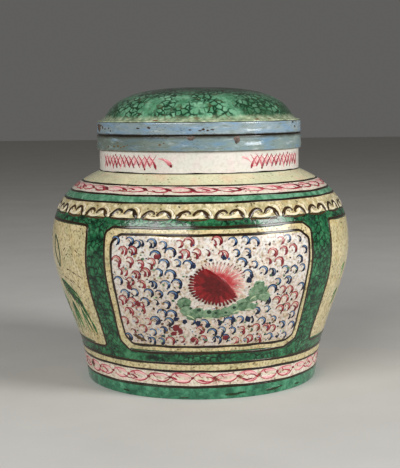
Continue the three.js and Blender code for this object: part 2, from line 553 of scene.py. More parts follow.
def nearest_oval(tree, spot, ovals):
    """Below 1 inside any of these ovals, each given by its middle and its half sizes."""
    nearest = 9.0
    for x, y, half_width, half_height in ovals:
        reach = add(tree, "ShaderNodeVectorMath", (spot, (x, y, 0)), operation="SUBTRACT")
        reach = add(tree, "ShaderNodeVectorMath", (reach, (half_width, half_height, 1)), operation="DIVIDE")
        reach = add(tree, "ShaderNodeVectorMath", (reach,), operation="LENGTH").outputs["Value"]
        nearest = add(tree, "ShaderNodeMath", (nearest, reach), operation="MINIMUM")
    return nearest


def scatter_tree(name, patches_of_one, blanks):
    """A motif scattered over a field in staggered rows, inside or outside some ovals, and in no blank."""
    tree, given = new_tree(name, {
        "Width": "Float", "Height": "Float", "Columns": "Int", "Rows": "Int", "Stagger": "Float",
        "Jitter": "Vector", "Turn Low": "Float", "Turn High": "Float", "Small": "Float", "Large": "Float",
        "Share": "Float", "Inside": "Bool", "Seed": "Int", "Motif": "Object", "Material": "Material",
    })
    seed = {"Seed": given["Seed"]}
    field = [given[label] for label in ("Width", "Height", "Columns", "Rows")]
    grid = add(tree, "GeometryNodeMeshGrid", field)
    index = add(tree, "GeometryNodeInputIndex")
    row = add(tree, "ShaderNodeMath", (index, given["Rows"]), operation="MODULO")
    odd = add(tree, "ShaderNodeMath", (row, 2.0), operation="MODULO")
    shift = add(tree, "ShaderNodeMath", (odd, given["Stagger"]), operation="MULTIPLY")
    back = add(tree, "ShaderNodeVectorMath", {0: given["Jitter"], "Scale": -1.0}, operation="SCALE")
    wander = add(tree, "FunctionNodeRandomValue", {0: back, 1: given["Jitter"], **seed},
                 data_type="FLOAT_VECTOR")
    shift = add(tree, "ShaderNodeCombineXYZ", (shift,))
    offset = add(tree, "ShaderNodeVectorMath", (shift, wander), operation="ADD")
    spread = add(tree, "GeometryNodeSetPosition", {"Geometry": grid, "Offset": offset})
    spot = add(tree, "GeometryNodeInputPosition")
    inside = nearest_oval(tree, spot, patches_of_one)
    inside = add(tree, "ShaderNodeMath", (inside, 1.0), operation="LESS_THAN")
    wanted = add(tree, "ShaderNodeMath", (inside, given["Inside"], 0.1), operation="COMPARE")
    clear = add(tree, "ShaderNodeMath", (nearest_oval(tree, spot, blanks), 1.0), operation="GREATER_THAN")
    kept = add(tree, "ShaderNodeMath", (wanted, clear), operation="MULTIPLY")
    lot = add(tree, "FunctionNodeRandomValue", seed, data_type="FLOAT").outputs[1]
    drawn = add(tree, "ShaderNodeMath", (lot, given["Share"]), operation="LESS_THAN")
    kept = add(tree, "ShaderNodeMath", (kept, drawn), operation="MULTIPLY")
    turn, size = (
        add(tree, "FunctionNodeRandomValue", {2: given[low], 3: given[high], **seed}, data_type="FLOAT")
        for low, high in (("Turn Low", "Turn High"), ("Small", "Large"))
    )
    turn = add(tree, "ShaderNodeCombineXYZ", {"Z": turn.outputs[1]})
    real = copies(tree, given, spread, turn, size.outputs[1], kept.outputs[0])
    return end_tree(tree, real, given["Material"])


def row_tree():
    """A motif repeated in a row, each copy a little different, as a painter's hand makes it."""
    tree, given = new_tree("row", {
        "Count": "Int", "Pitch": "Vector", "Waver": "Vector", "Seed": "Int", "Motif": "Object",
        "Material": "Material",
    })
    line = add(tree, "GeometryNodeMeshLine", {"Count": given["Count"], "Offset": given["Pitch"]})
    size = add(tree, "FunctionNodeRandomValue", {
        0: (0.92, 0.82, 1), 1: (1.07, 1.12, 1), "Seed": given["Seed"],
    }, data_type="FLOAT_VECTOR")
    real = copies(tree, given, line, (0, 0, 0), size)
    wave = add(tree, "ShaderNodeTexNoise", {"Scale": 0.17, "Detail": 1.0}).outputs["Color"]
    aside = add(tree, "ShaderNodeVectorMath", (wave, (0.5, 0.5, 0.5)), operation="SUBTRACT")
    aside = add(tree, "ShaderNodeVectorMath", (aside, given["Waver"]), operation="MULTIPLY")
    moved = add(tree, "GeometryNodeSetPosition", {"Geometry": real, "Offset": aside})
    return end_tree(tree, moved, given["Material"])


# Materials. All enamels are coloured glass, fired onto copper in several coats, and differ in their colours,
# in what is brushed on them and in how they have worn.


def new_material(name):
    made = bpy.data.materials.new(name)
    made.use_nodes = True
    tree = made.node_tree
    return made, tree, tree.nodes["Principled BSDF"], add(tree, "ShaderNodeTexCoord").outputs["Object"]


def sized(place, size, **others):
    """The inputs of a pattern whose lumps or cells are about this many millimetres across."""
    return {"Vector": place, "Scale": 1 / (size * MM), **others}


def clouded(tree, place, size, stops, detail=3.0, rough=0.55):
    """Colour that drifts between these stops, in clouds about this many millimetres across."""
    lumps = add(tree, "ShaderNodeTexNoise", sized(place, size, Detail=detail, Roughness=rough))
    return add(tree, "ShaderNodeValToRGB", (lumps,), stops).outputs[0]


def patches(tree, place, size, low, high, most=1.0, offset=(0, 0, 0), detail=3.0):
    """Ragged patches about this many millimetres across: 0 outside them and at most this in their middles."""
    moved = add(tree, "ShaderNodeVectorMath", (place, offset), operation="ADD")
    lumps = add(tree, "ShaderNodeTexNoise", sized(moved, size, Detail=detail))
    return add(tree, "ShaderNodeMapRange", (lumps, low, high, 0.0, most), **SOFT)


def tinted(tree, colour, tint, share, only=1.0):
    """A colour with a tint over it, where a share and another share allow it."""
    share = add(tree, "ShaderNodeMath", (share, only), operation="MULTIPLY")
    return add(tree, "ShaderNodeMix", {0: share, 6: colour, 7: linear(tint)}, data_type="RGBA").outputs[2]


def dots(tree, place, pitch, full, none):
    """Round dots about this many millimetres apart, solid within the one share of that and gone at the other.

    The real pinholes are about 0.2 mm across, too fine to show here, so they are drawn as about 0.6 mm."""
    near = add(tree, "ShaderNodeTexVoronoi", sized(place, pitch), feature="F1")
    return add(tree, "ShaderNodeMapRange", (near, full, none, 1.0, 0.0), **SOFT)


GLAZE_ROUGHNESS = (0.1, 0.26)  # from where the film is clear to where handling has dulled it
GLAZE_SPECULAR = 0.45  # a little under the default, for lead glass dulled by age


def glazed(tree, shader, place, colour, roughness=GLAZE_ROUGHNESS, ripple=0.02, sunk=None):
    """The fired surface that the enamels share: a glassy film with orange-peel ripples over its colour."""
    tree.links.new(colour, shader.inputs["Base Color"])
    shader.inputs["Specular IOR Level"].default_value = GLAZE_SPECULAR
    patchy = add(tree, "ShaderNodeTexNoise", sized(place, 9, Detail=3.0))
    rough = add(tree, "ShaderNodeMapRange", (patchy, 0.3, 0.7, *roughness))
    tree.links.new(rough.outputs[0], shader.inputs["Roughness"])
    # real ripples are about 0.7 mm wide, too fine to show, so they are drawn twice as wide
    peel = add(tree, "ShaderNodeTexNoise", sized(place, 1.4, Detail=2.0))
    swell = add(tree, "ShaderNodeTexNoise", sized(place, 7, Detail=1.0))
    surface = add(tree, "ShaderNodeMath", (swell, 2.0, peel), operation="MULTIPLY_ADD")
    if sunk:
        surface = add(tree, "ShaderNodeMath", (sunk, -1.5, surface), operation="MULTIPLY_ADD")
    bump = add(tree, "ShaderNodeBump", {"Height": surface, "Distance": ripple * MM, "Strength": 1.0})
    tree.links.new(bump.outputs[0], shader.inputs["Normal"])


def pushed(tree, place, size, reach):
    """Places pushed about at random by up to half of this many millimetres, so that a pattern wavers."""
    wobble = add(tree, "ShaderNodeTexNoise", sized(place, size, Detail=1.0))
    wobble = wobble.outputs["Color"]
    wobble = add(tree, "ShaderNodeVectorMath", {0: wobble, "Scale": reach * MM}, operation="SCALE")
    return add(tree, "ShaderNodeVectorMath", (place, wobble), operation="ADD").outputs[0]


def scales(tree, place, cell, low, high):
    """Dark scales about this many millimetres wide, brushed one over another, strongest over their tops."""
    wavering = pushed(tree, place, cell * 0.8, cell * 0.7)
    where = sized(wavering, cell)
    edge = add(tree, "ShaderNodeTexVoronoi", where, feature="DISTANCE_TO_EDGE")
    line = add(tree, "ShaderNodeMapRange", (edge, low, high, 1.0, 0.0), **SOFT)
    middle = add(tree, "ShaderNodeTexVoronoi", where, feature="F1").outputs["Position"]
    above = add(tree, "ShaderNodeVectorMath", (wavering, middle), operation="SUBTRACT")
    rise = add(tree, "ShaderNodeSeparateXYZ", (above,)).outputs[2]
    upper = add(tree, "ShaderNodeMapRange", (rise, -0.35 * cell * MM, 0.15 * cell * MM, 0.45, 1.0), **SOFT)
    return add(tree, "ShaderNodeMath", (line, upper), operation="MULTIPLY").outputs[0]


def netted_green(name, dark, shadow, middle, light, net, cell):
    """Green enamel over dark brushed scales, paler where the glass pooled."""
    made, tree, shader, place = new_material(name)
    body = clouded(tree, place, 4.5, ((0.34, shadow), (0.5, middle), (0.66, light)), 5, 0.65)
    body = tinted(tree, body, dark, patches(tree, place, 1.1, 0.54, 0.72, 0.7, (0.01, 0.02, 0)))
    line = scales(tree, place, cell, 0.05, 0.24)
    some = patches(tree, place, 9, 0.28, 0.5, net, (0.02, 0, 0))
    colour = tinted(tree, body, dark, line, some)
    glazed(tree, shader, place, colour, sunk=line)
    return made


PEBBLE = 3.0  # the pitch of the pale pebbles on the dome
RUBBED = (126.4, 129.4)  # the heights between which the rubbing at the dome's foot fades
CROWN_SHADE_HEIGHTS = (138.0, 142.5)  # the heights between which painted shade darkens the dome towards its crown
# Painted shade darkens the dome's sides, away from this middle, a little left of the front.
SHADED_MIDDLE = -8.0
SHADED = (14.0, 46.0)  # how far to either side of there the dome begins to darken, and is darkest


def pebbled_green(name, dark, shadow, middle, light):
    """Mint enamel dabbed on in pebbles over dark green, with painted shade at its sides and its crown, and
    rubbed at the foot.
    """
    made, tree, shader, place = new_material(name)
    body = clouded(tree, place, 5, ((0.34, shadow), (0.48, middle), (0.64, light)), 4, 0.6)
    body = tinted(tree, body, dark, patches(tree, place, 0.9, 0.54, 0.7, 0.5, (0.01, 0.02, 0)))
    where = sized(pushed(tree, place, 2.0, 1.6), PEBBLE, Randomness=0.75)
    edge = add(tree, "ShaderNodeTexVoronoi", where, feature="DISTANCE_TO_EDGE")
    gap = add(tree, "ShaderNodeMapRange", (edge, 0.05, 0.19, 1.0, 0.0), **SOFT)
    some = patches(tree, place, 10, 0.36, 0.52, 0.95, (0.02, 0.01, 0))
    colour = tinted(tree, body, dark, gap, some)
    colour = tinted(tree, colour, "#4b4a2e", patches(tree, place, 3, 0.56, 0.7, 0.6, (0, 0.05, 0.02), 4))
    x, _, rise = add(tree, "ShaderNodeSeparateXYZ", (place,)).outputs
    # Painted shade: the dome's sides darken away from the middle.
    aside = add(tree, "ShaderNodeMath", (x, SHADED_MIDDLE * MM), operation="SUBTRACT")
    aside = add(tree, "ShaderNodeMath", (aside,), operation="ABSOLUTE")
    shaded = add(tree, "ShaderNodeMapRange", (aside, SHADED[0] * MM, SHADED[1] * MM, 0.0, 0.85), **SOFT)
    cloud = patches(tree, place, 14, 0.25, 0.55, 1.0, (0.06, 0, 0))
    colour = tinted(tree, colour, "#1a3820", shaded, cloud)
    # Painted shade: the dome darkens towards its crown.
    crown = add(tree, "ShaderNodeMapRange", (rise, CROWN_SHADE_HEIGHTS[0] * MM, CROWN_SHADE_HEIGHTS[1] * MM, 0.0, 0.82), **SOFT)
    colour = tinted(tree, colour, "#12170e", crown)
    ragged = add(tree, "ShaderNodeTexNoise", sized(place, 4, Detail=4.0))
    edge = add(tree, "ShaderNodeMath", (ragged, -2.4 * MM, rise), operation="MULTIPLY_ADD")
    rubbed = add(tree, "ShaderNodeMapRange", (edge, RUBBED[0] * MM, RUBBED[1] * MM, 0.95, 0.0), **SOFT)
    tint = clouded(tree, place, 3, ((0.34, "#6f7d62"), (0.5, "#a0af8b"), (0.66, "#d3dab9")), 3, 0.6)
    tint = tinted(tree, tint, "#7d5b40", patches(tree, place, 4, 0.62, 0.7, 0.8, (0, 0.01, 0)))
    colour = add(tree, "ShaderNodeMix", {0: rubbed, 6: colour, 7: tint}, data_type="RGBA").outputs[2]
    glazed(tree, shader, place, colour, sunk=gap.outputs[0])
    return made


def mottled(name, base, *tints, size, specks=None, grit="#7d6a4c", strength=0.6, grain=0.2,
            roughness=GLAZE_ROUGHNESS, darker_below=None):
    """Pale enamel with clouds of other colours, grit, and pinholes where the glass boiled.

    The last argument darkens the colour towards the bottom: its colour, the heights where it is strongest and
    where it ends, and its share."""
    made, tree, shader, place = new_material(name)
    colour = clouded(tree, place, size * 1.7, ((0.3, base), (0.7, tints[-1])))
    for i, tint in enumerate(tints):
        cloud = patches(tree, place, size, 0.46, 0.7, strength, (0.031 * i, 0.017 * i, 0.023 * i))
        colour = tinted(tree, colour, tint, cloud)
    colour = tinted(tree, colour, grit, patches(tree, place, 1.2, 0.44, 0.68, grain, (0.01, 0, 0)))
    if specks:
        some = patches(tree, place, 5, 0.46, 0.56, 0.9)
        colour = tinted(tree, colour, specks, dots(tree, place, 2.0, 0.13, 0.32), some)
    if darker_below:
        tint, low, high, most = darker_below
        # Darker towards the bottom.
        rise = add(tree, "ShaderNodeSeparateXYZ", (place,)).outputs[2]
        film = add(tree, "ShaderNodeMapRange", (rise, low * MM, high * MM, most, 0.0))
        colour = tinted(tree, colour, tint, film)
    glazed(tree, shader, place, colour, roughness)
    return made


def brushed(name, stops, spread=0.5, wash_spread=0.3):
    """Overglaze colour laid with a brush: thin and pale where it starts, dark where it gathers."""
    made, tree, shader, place = new_material(name)
    shade = add(tree, "ShaderNodeAttribute", attribute_name="shade").outputs["Fac"]
    wash = add(tree, "ShaderNodeAttribute", attribute_name="wash").outputs["Fac"]
    cloud = add(tree, "ShaderNodeTexNoise", sized(place, 1.6))
    drift = add(tree, "ShaderNodeMapRange", (cloud, 0.0, 1.0, -spread / 2, spread / 2))
    tone = add(tree, "ShaderNodeMath", (wash, wash_spread, shade), operation="MULTIPLY_ADD")
    tone = add(tree, "ShaderNodeMath", (tone, drift), operation="ADD")
    colour = add(tree, "ShaderNodeValToRGB", (tone,), stops).outputs[0]
    glazed(tree, shader, place, colour, ripple=0.01)
    return made


SEAM_HEIGHT = 120.95  # of the joint between cover and collar
STAIN_STARTS = 14.0  # to the right of the middle, from where the blue bands get dirtier towards the left
STAIN_FULL = -40.0


def worn_blue(name, tones, stain, stained, reach):
    """Pale blue enamel, rubbed grey in streaks, stained towards the left, and darkened at the cover's joint
    by painted shadow and grime.
    """
    made, tree, shader, place = new_material(name)
    streaked = add(tree, "ShaderNodeMapping", {"Vector": place, "Scale": (1, 1, 4)}).outputs[0]
    colour = clouded(tree, streaked, 12, zip((0.3, 0.5, 0.7), tones))
    for tint, *rubbing in (
        ("#6b7a76", 6, 0.5, 0.68, 0.6, (0, 0, 0), 4.0),
        ("#b9c4c6", 5, 0.56, 0.72, 0.4, (0.04, 0, 0)),
        ("#56646a", 1.8, 0.56, 0.72, 0.4, (0, 0.03, 0)),
    ):
        colour = tinted(tree, colour, tint, patches(tree, streaked, *rubbing))
    x, _, rise = add(tree, "ShaderNodeSeparateXYZ", (place,)).outputs
    left = add(tree, "ShaderNodeMapRange", (x, STAIN_STARTS * MM, STAIN_FULL * MM, 0.0, stained))
    colour = tinted(tree, colour, stain, left, patches(tree, streaked, 9, 0.3, 0.5, 1.0, (0, 0, 0.05)))
    some = patches(tree, place, 7, 0.52, 0.6)
    colour = tinted(tree, colour, "#333029", dots(tree, streaked, 2.4, 0.08, 0.26), some)
    # Painted shadow and grime in the gap between cover and collar: darkest at the joint, fading over the
    # reach.
    off = add(tree, "ShaderNodeMath", (rise, SEAM_HEIGHT * MM), operation="SUBTRACT")
    off = add(tree, "ShaderNodeMath", (off,), operation="ABSOLUTE")
    ragged = add(tree, "ShaderNodeTexNoise", sized(place, 4, Detail=3.0))
    off = add(tree, "ShaderNodeMath", (ragged, 0.9 * MM, off), operation="MULTIPLY_ADD")
    seam_shadow_and_grime = add(tree, "ShaderNodeMapRange", (off, 0.6 * MM, reach * MM, 0.95, 0.0), **SOFT)
    colour = tinted(tree, colour, "#2b2517", seam_shadow_and_grime)
    glazed(tree, shader, place, colour, ripple=0.03)
    return made


def aged_metal(name, stops, metallic=1.0):
    """Copper sheet gone brown with age: a metal with dull, patchy oxide."""
    made, tree, shader, place = new_material(name)
    tone = add(tree, "ShaderNodeTexNoise", sized(place, 3, Detail=4.0, Roughness=0.6))
    colour = add(tree, "ShaderNodeValToRGB", (tone,), stops)
    tree.links.new(colour.outputs[0], shader.inputs["Base Color"])
    shader.inputs["Metallic"].default_value = metallic
    rough = add(tree, "ShaderNodeMapRange", (tone, 0.0, 1.0, 0.65, 0.35))
    tree.links.new(rough.outputs[0], shader.inputs["Roughness"])
    pits = add(tree, "ShaderNodeTexNoise", sized(place, 1.2, Detail=3.0))
    bump = add(tree, "ShaderNodeBump", {"Height": pits, "Distance": 0.04 * MM, "Strength": 1.0})
    tree.links.new(bump.outputs[0], shader.inputs["Normal"])
    return made


# Copper-green enamel over brushed scales: deep glassy green, with a fine dark net and brighter pools.
GREEN = netted_green("netted_green_enamel", "#05150c", "#103a27", "#22663f", "#43835a", net=0.95, cell=2.7)
# The foot's green, laid plain: even and a little bluer, with faint brush clouds.
FOOT_GREEN = netted_green("plain_green_enamel", "#173d2c", "#245c43", "#3a7f5e", "#5a9d79", net=0.4, cell=5.0)
# The narrow band's green: thin and greyish, so that it reads as a soft stripe between dark lines.
BAND_GREEN = netted_green("plain_band_green_enamel", "#1c4635", "#397253", "#5b9573", "#80b092", net=0.35,
                          cell=5.0)
# Mint enamel in pebbles: a cobbled, softly netted dome, with painted shade at its sides and crown.
DOME_GREEN = pebbled_green("pebbled_green_enamel", "#0b2e1b", "#437957", "#5b9371", "#7db08e")
# Cream ground enamel: warm ochre-cream, clouded, with brown grit fired into it.
CREAM = mottled("cream_enamel", "#d8c597", "#bfa566", "#e2d3ab", "#b9b387", size=6, specks="#54411f",
                grain=0.7)
# The curl border's cream: blotched with brown stains, so that the raised curls stand out paler.
CURL_CREAM = mottled("stained_cream_enamel", "#dfcda2", "#b0925c", "#f2e7c4", "#a59e74", size=3.0,
                     specks="#4a3818", strength=0.75, grain=0.5)
# The shoulder's cream: the cleanest and palest, with a breath of pink and of green.
SHOULDER_CREAM = mottled("shoulder_cream_enamel", "#e5dab4", "#e2be9d", "#cacfaa", size=9,
                         specks="#8d8458")
# White enamel under the high scroll: milky, and tinged by the pink brushed on it.
PINK_WHITE = mottled("pinkish_white_enamel", "#e9d9ce", "#dfa5a3", "#d6cfb8", size=4, strength=0.65,
                     grain=0.3, specks="#7c5a44")
# White enamel under the low scroll: chalkier and dirtier, where shelf and hand have rubbed it.
LOW_WHITE = mottled("dirty_white_enamel", "#e6dbd0", "#cf9c92", "#cfc7ab", size=3, strength=0.55, grain=0.5,
                    specks="#6e4c38")
# The neck's white: clean and milky, hardly clouded.
NECK_WHITE = mottled("neck_white_enamel", "#e0d9d0", "#dec6c4", "#cecdc2", size=8, grain=0.14)
# The panels' ground: white, dirtied with tan, pink and grey between the strokes, and darker towards the
# bottom.
PANEL_WHITE = mottled("panel_white_enamel", "#dfd3c4", "#c99b82", "#c2b18a", "#d6d8d6", size=1.8, grain=0.6,
                      grit="#7d6444", specks="#4c3d30", darker_below=("#a5866a", 24, 70, 0.34))
# Counter-enamel, which keeps the sheet from warping: plain, greyish, dull white.
BACKING = mottled("counter_enamel", "#cfd6d0", "#b9c7c6", "#c9c4ac", size=14, specks="#4e4639",
                  roughness=(0.32, 0.5))
# Pale blue enamel on the cover's rim: rubbed and streaky, with dark pits.
RIM_BLUE = worn_blue("worn_blue_enamel", ("#7595b3", "#8699a2", "#9ba6a3"), "#5f7074", 0.35, 1.5)
# The collar's blue: the same, with a film of dirt that turns it greyer and greener.
COLLAR_BLUE = worn_blue("stained_blue_enamel", ("#6c8a9f", "#7a8c8a", "#8f9c96"), "#545b4c", 0.7, 2.6)
# Copper sheet: warm brown metal, dull with oxide.
COPPER = aged_metal("aged_copper", ((0.3, "#3f2a1f"), (0.5, "#6d4630"), (0.75, "#a8714c")))
# Copper where a chip bares it: greyer and duller, under what is left of the ground coat.
CHIPPED = aged_metal("chipped_to_dull_copper", ((0.3, "#3b312a"), (0.5, "#62534a"), (0.75, "#84756a")), 0.4)
# Bistre: the brown-black of every outline, a little browner where a line thins out.
BISTRE = brushed("bistre_line_enamel", ((0, "#1c1309"), (0.35, "#372614"), (0.7, "#5a4220"), (1, "#7c653a")))
# Cobalt: navy where the brush lifts, and a watery blue where it starts.
COBALT = brushed("cobalt_brush_enamel",
                 ((0.1, "#060d20"), (0.4, "#142b52"), (0.7, "#5b7da3"), (1, "#a9bac6")),
                 spread=0.3, wash_spread=0.25)
# Rose: a dusky red that fades to pink along each stroke.
ROSE = brushed("rose_brush_enamel", ((0.05, "#5c1017"), (0.4, "#8f3238"), (0.7, "#c37b74"), (1, "#dcb4a8")),
               spread=0.3)
# Crimson: wine-red outlines over washes of pale pink.
CRIMSON = brushed("crimson_brush_enamel",
                  ((0, "#5e131c"), (0.35, "#9b313c"), (0.7, "#cc757c"), (1, "#e6b1af")), wash_spread=0.35)
# Peony red: a ruby heart, and fine pale hairs at the flower's edge.
PETAL = brushed("peony_red_enamel", ((0, "#3a0806"), (0.3, "#7a1115"), (0.6, "#ae373b"), (1, "#e6b5ac")),
                spread=0.3, wash_spread=0.0)
# Leaf green: greyish and spongy, dabbed on.
LEAF = brushed("leaf_green_enamel", ((0, "#1c3826"), (0.35, "#537254"), (0.65, "#7f987a"), (1, "#b5bf99")),
               spread=0.9)
# Bamboo green: quick glassy strokes, nearly black along a leaf's rib.
BAMBOO = brushed("bamboo_green_enamel",
                 ((0, "#1a2f14"), (0.35, "#2f5a30"), (0.65, "#4c8a52"), (1, "#83a96e")))
# Grit that fell on the panel in the kiln: brown specks, which make the white look old.
GRIT = brushed("fired_in_grit", ((0, "#241c14"), (0.4, "#5d3a22"), (0.7, "#8f7146"), (1, "#a79b7a")))
# Iron red: rusty knots and spots, dull beside the crimson.
RUST = brushed("rust_brush_enamel", ((0, "#431a10"), (0.5, "#8a5034"), (1, "#c39a78")))
# Cream laid on thick: round beads, which catch the light along the curl border.
RAISED_CREAM = brushed("raised_cream_enamel", ((0, "#8f7a4c"), (0.5, "#d6c7a2"), (1, "#efe6d0")), spread=0.4,
                       wash_spread=0.0)

# The jar's shells


def worked(outer, heights, swells, step=0.35):
    """A band's outer face, beaten out or in by these amounts at these heights."""
    runs = np.concatenate([[0], np.cumsum(np.linalg.norm(np.diff(outer, axis=0), axis=1))])
    fine = np.union1d(runs, np.arange(0, runs[-1], step))
    radius, height = (np.interp(fine, runs, column) for column in outer.T)
    return np.stack([radius + np.interp(height, heights, swells), height], 1)


jar_outer, jar_inner = faces_of("body")
BODY = Skin(smooth(jar_outer))
dome_outer, dome_inner = faces_of("cover_dome")
DOME = Skin(smooth(dome_outer[1:]))
NECK = Skin(faces_of("neck")[0])
FOOT = Skin(faces_of("foot_ring")[0])
collar_outer, collar_inner = faces_of("neck_collar")
collar_foot, collar_top = collar_outer[:, 1].min(), collar_outer[:, 1].max()
collar_outer = worked(
    collar_outer,
    [collar_foot + rise for rise in (0, 0.6, 1.9, 2.7, 3.5, 4.4, 5.3)]
    + [collar_top - drop for drop in (0.7, 0.3, 0)],
    [-0.1, 0.02, 0.08, 0.06, -0.04, -0.12, -0.12, -0.04, -0.06, -0.16],
)
COLLAR = Skin(collar_outer)
rim_outer, rim_inner = faces_of("cover_rim")
rim_foot, rim_top = rim_outer[:, 1].min(), rim_outer[:, 1].max()
rim_outer = worked(
    rim_outer,
    [rim_foot + rise for rise in (0, 0.5, 1.6, 2.6)] + [rim_top - drop for drop in (1.7, 0.9, 0.4, 0)],
    [-0.12, 0.0, 0.05, -0.03, -0.04, 0.02, -0.05, -0.16],
)
RIM = Skin(rim_outer)

shell("jar_shell", np.vstack([smooth(jar_outer), smooth(jar_inner)]), GREEN, "jar", ["body"])
dome_front = np.vstack([dome_outer[:1], smooth(dome_outer[1:])])
dome_section = np.vstack([dome_front, smooth(dome_inner)])
shell("dome_shell", np.roll(dome_section, -len(dome_front), axis=0), DOME_GREEN, "cover",
      ["cover_dome"])
for node_name, section, material, body, slot in (
    ("foot_ring", section_of("foot_ring"), FOOT_GREEN, "jar", "green_foot"),
    ("floor_plate", section_of("floor_plate"), BACKING, "jar", "white_floor"),
    ("neck", section_of("neck"), NECK_WHITE, "jar", "white_neck"),
    ("neck_collar", np.vstack([collar_outer, collar_inner]), COLLAR_BLUE, "jar", "blue_band"),
    ("mouth_lip", section_of("mouth_lip"), COPPER, "jar", "bare_copper"),
    ("cover_rim", np.vstack([rim_outer, rim_inner]), RIM_BLUE, "cover", "blue_band"),
):
    shell(node_name + "_shell", section, material, body, [node_name])


def lining(name, inner, body):
    """A coat of counter-enamel over a piece's inner face, which is given from its top down."""
    radius, height, out, up = Skin(inner).columns
    coat = [np.stack([radius + out * lift, height + up * lift], 1) for lift in (GROUND, -SINK)]
    section = np.vstack([coat[0], coat[1][::-1]])
    if inner[0][0] < 0.01:
        section[0, 0] = section[-1, 0] = 0
    shell(name, section, BACKING, body)


lining("jar_lining", smooth(jar_inner), "jar")
lining("cover_lining", smooth(dome_inner), "cover")

# Fields of enamel on the body, and the lines between them

ON_BODY = ("jar", "green_ground")
for name, low, high, material in (
    ("low_scroll_ground", BAND_FOOT, LOW_SCROLL_TOP, LOW_WHITE),
    ("low_cream_ground", LOW_SCROLL_TOP, LOW_CREAM_TOP, CREAM),
    ("curl_ground", CURL_FOOT, CURL_TOP, CURL_CREAM),
    ("green_band_ground", CURL_TOP, GREEN_BAND_TOP, BAND_GREEN),
    ("high_scroll_ground", GREEN_BAND_TOP, HIGH_SCROLL_TOP, PINK_WHITE),
    ("shoulder_ground", HIGH_SCROLL_TOP, SHOULDER_TOP, SHOULDER_CREAM),
):
    band(name, BODY, low, high, GROUND, material, *ON_BODY)

LINE_WIDTH = 1.35
for seed, (name, edge) in enumerate((
    ("foot_line", (0.3, 0)), ("low_scroll_line", LOW_SCROLL_TOP), ("low_cream_line", LOW_CREAM_TOP),
    ("curl_line", CURL_TOP), ("green_band_line", GREEN_BAND_TOP), ("high_scroll_line", HIGH_SCROLL_TOP),
)):
    ring_line(name, BODY, edge, LINE_WIDTH if seed else 0.9, LINE, BISTRE, *ON_BODY, seed=seed)
ring_line("foot_ring_line", FOOT, (FOOT.length - 0.2, 0), 0.5, LINE, BISTRE, "jar", "green_foot", seed=7)
ring_line("neck_foot_line", NECK, (1.55, 0), 1.5, 0.1, BISTRE, "jar", "white_neck", seed=8, shade=-0.4)


def flat_corners(outline):
    """An outline's corners, flat, about the middle of its panel."""
    return [(math.radians(angle) * FLAT_RADIUS, run - PANEL_MIDDLE) for angle, run in outline]


def rounded(corners, ease=0.7):
    """A closed path through these corners, each rounded a little."""
    path = []
    for a, b in zip(corners, corners[1:] + corners[:1]):
        share = ease / math.dist(a, b)
        for t in (share, 0.5, 1 - share):
            path.append((a[0] + (b[0] - a[0]) * t, a[1] + (b[1] - a[1]) * t))
    return path + path[:1]


def panel_line(name, outline, middle, width, seed):
    path = rounded(flat_corners(outline))
    drawing = Drawing(seed).stroke(path, width, shade=0.05, crown=LINE, section=LINED, waver=0.1, step=1.0,
                                   closed=True)
    laid(name, drawing.mesh(name), BODY, middle, PANEL_MIDDLE, 0, BISTRE, *ON_BODY)


# The curl border above the panels: dark brown curls, with raised cream between them.

CURL_COUNT = 27
CURL_ANGLE = -2.8  # of the middle of one unit
CURL_LEFT = [(-0.8, 2.1), (-1.2, 3.2), (-2.8, 3.9), (-4.7, 3.1), (-6.1, 1.4), (-7.1, -0.3)]
CURL_RIGHT = [(0.5, 1.5), (1.6, 3.1), (3.6, 4.0), (5.4, 3.1), (6.5, 1.4), (7.1, -0.3)]
CURL_BASE = [(-7.2, -0.3), (-4.4, -0.6), (-0.6, -0.9), (3.2, -0.8), (7.1, -0.4)]
BEAN_BACK = [(-4.8, 1.3), (-3.6, 0.5), (-1.2, 0.3), (1.4, 0.6), (3.3, 1.6), (4.2, 2.4)]
curl = Drawing().strokes(
    (CURL_LEFT, 2.6, press_curl, 0.12, 0.1),
    (CURL_RIGHT, 2.9, press_curl, 0.12, 0.1),
    (CURL_BASE, 1.1, press_even, 0.12, 0.2),
    ([(-4.1, 1.9), (-3.3, 2.4), (-2.6, 1.9), (-3.2, 1.3)], 0.5, press_even, 0.26, 0.3),
    ([(8.3, 4.6), (8.6, 2.8), (8.3, 1.2)], 0.35, press_tapered, 0.2, 0.7),
)
bean = Drawing()
bean.stroke(BEAN_BACK, 1.25, press_even, 0.2, 0.7)
bean.dab((-3.4, 1.8), (1.5, 1.05), 10, 0.22, 0.6)
bean.dab((4.1, 2.4), (0.8, 1.05), -25, 0.22, 0.85)
bean.stroke([(4.6, 5.6), (6.9, 4.7), (8.2, 2.6), (8.7, 0.6)], 1.35, press_comma, 0.16, 0.85)
bean.dab((8.5, 0.9), (0.75, 1.0), 0, 0.18, 0.8)
bean.stroke([(-9.6, 5.4), (-8.4, 4.4), (-8.0, 3.0)], 0.8, press_tapered, 0.12, 0.5)
rows = row_tree()


def ringed(name, shape, run, angle, count, lift, material, seed, waver=0.8):
    """A motif repeated all round the body at this run, with one copy's origin at this angle."""
    radius = BODY.radius(run)
    made = grown(rows, {
        "Count": count, "Pitch": (2 * math.pi * radius / count, 0, 0), "Waver": (waver, waver, 0),
        "Seed": seed, "Motif": motif(shape, name + "_motif"), "Material": material,
    })
    laid(name, made, BODY, angle, run, lift, material, *ON_BODY, radius)


ringed("brown_curls", curl, CURL_FOOT[0], CURL_ANGLE, CURL_COUNT, 0, BISTRE, 3)
ringed("cream_curls", bean, CURL_FOOT[0], CURL_ANGLE, CURL_COUNT, 0, RAISED_CREAM, 3)

# The two scrolls. The high one is a rope of overlapping strokes, the low one a string of open loops.

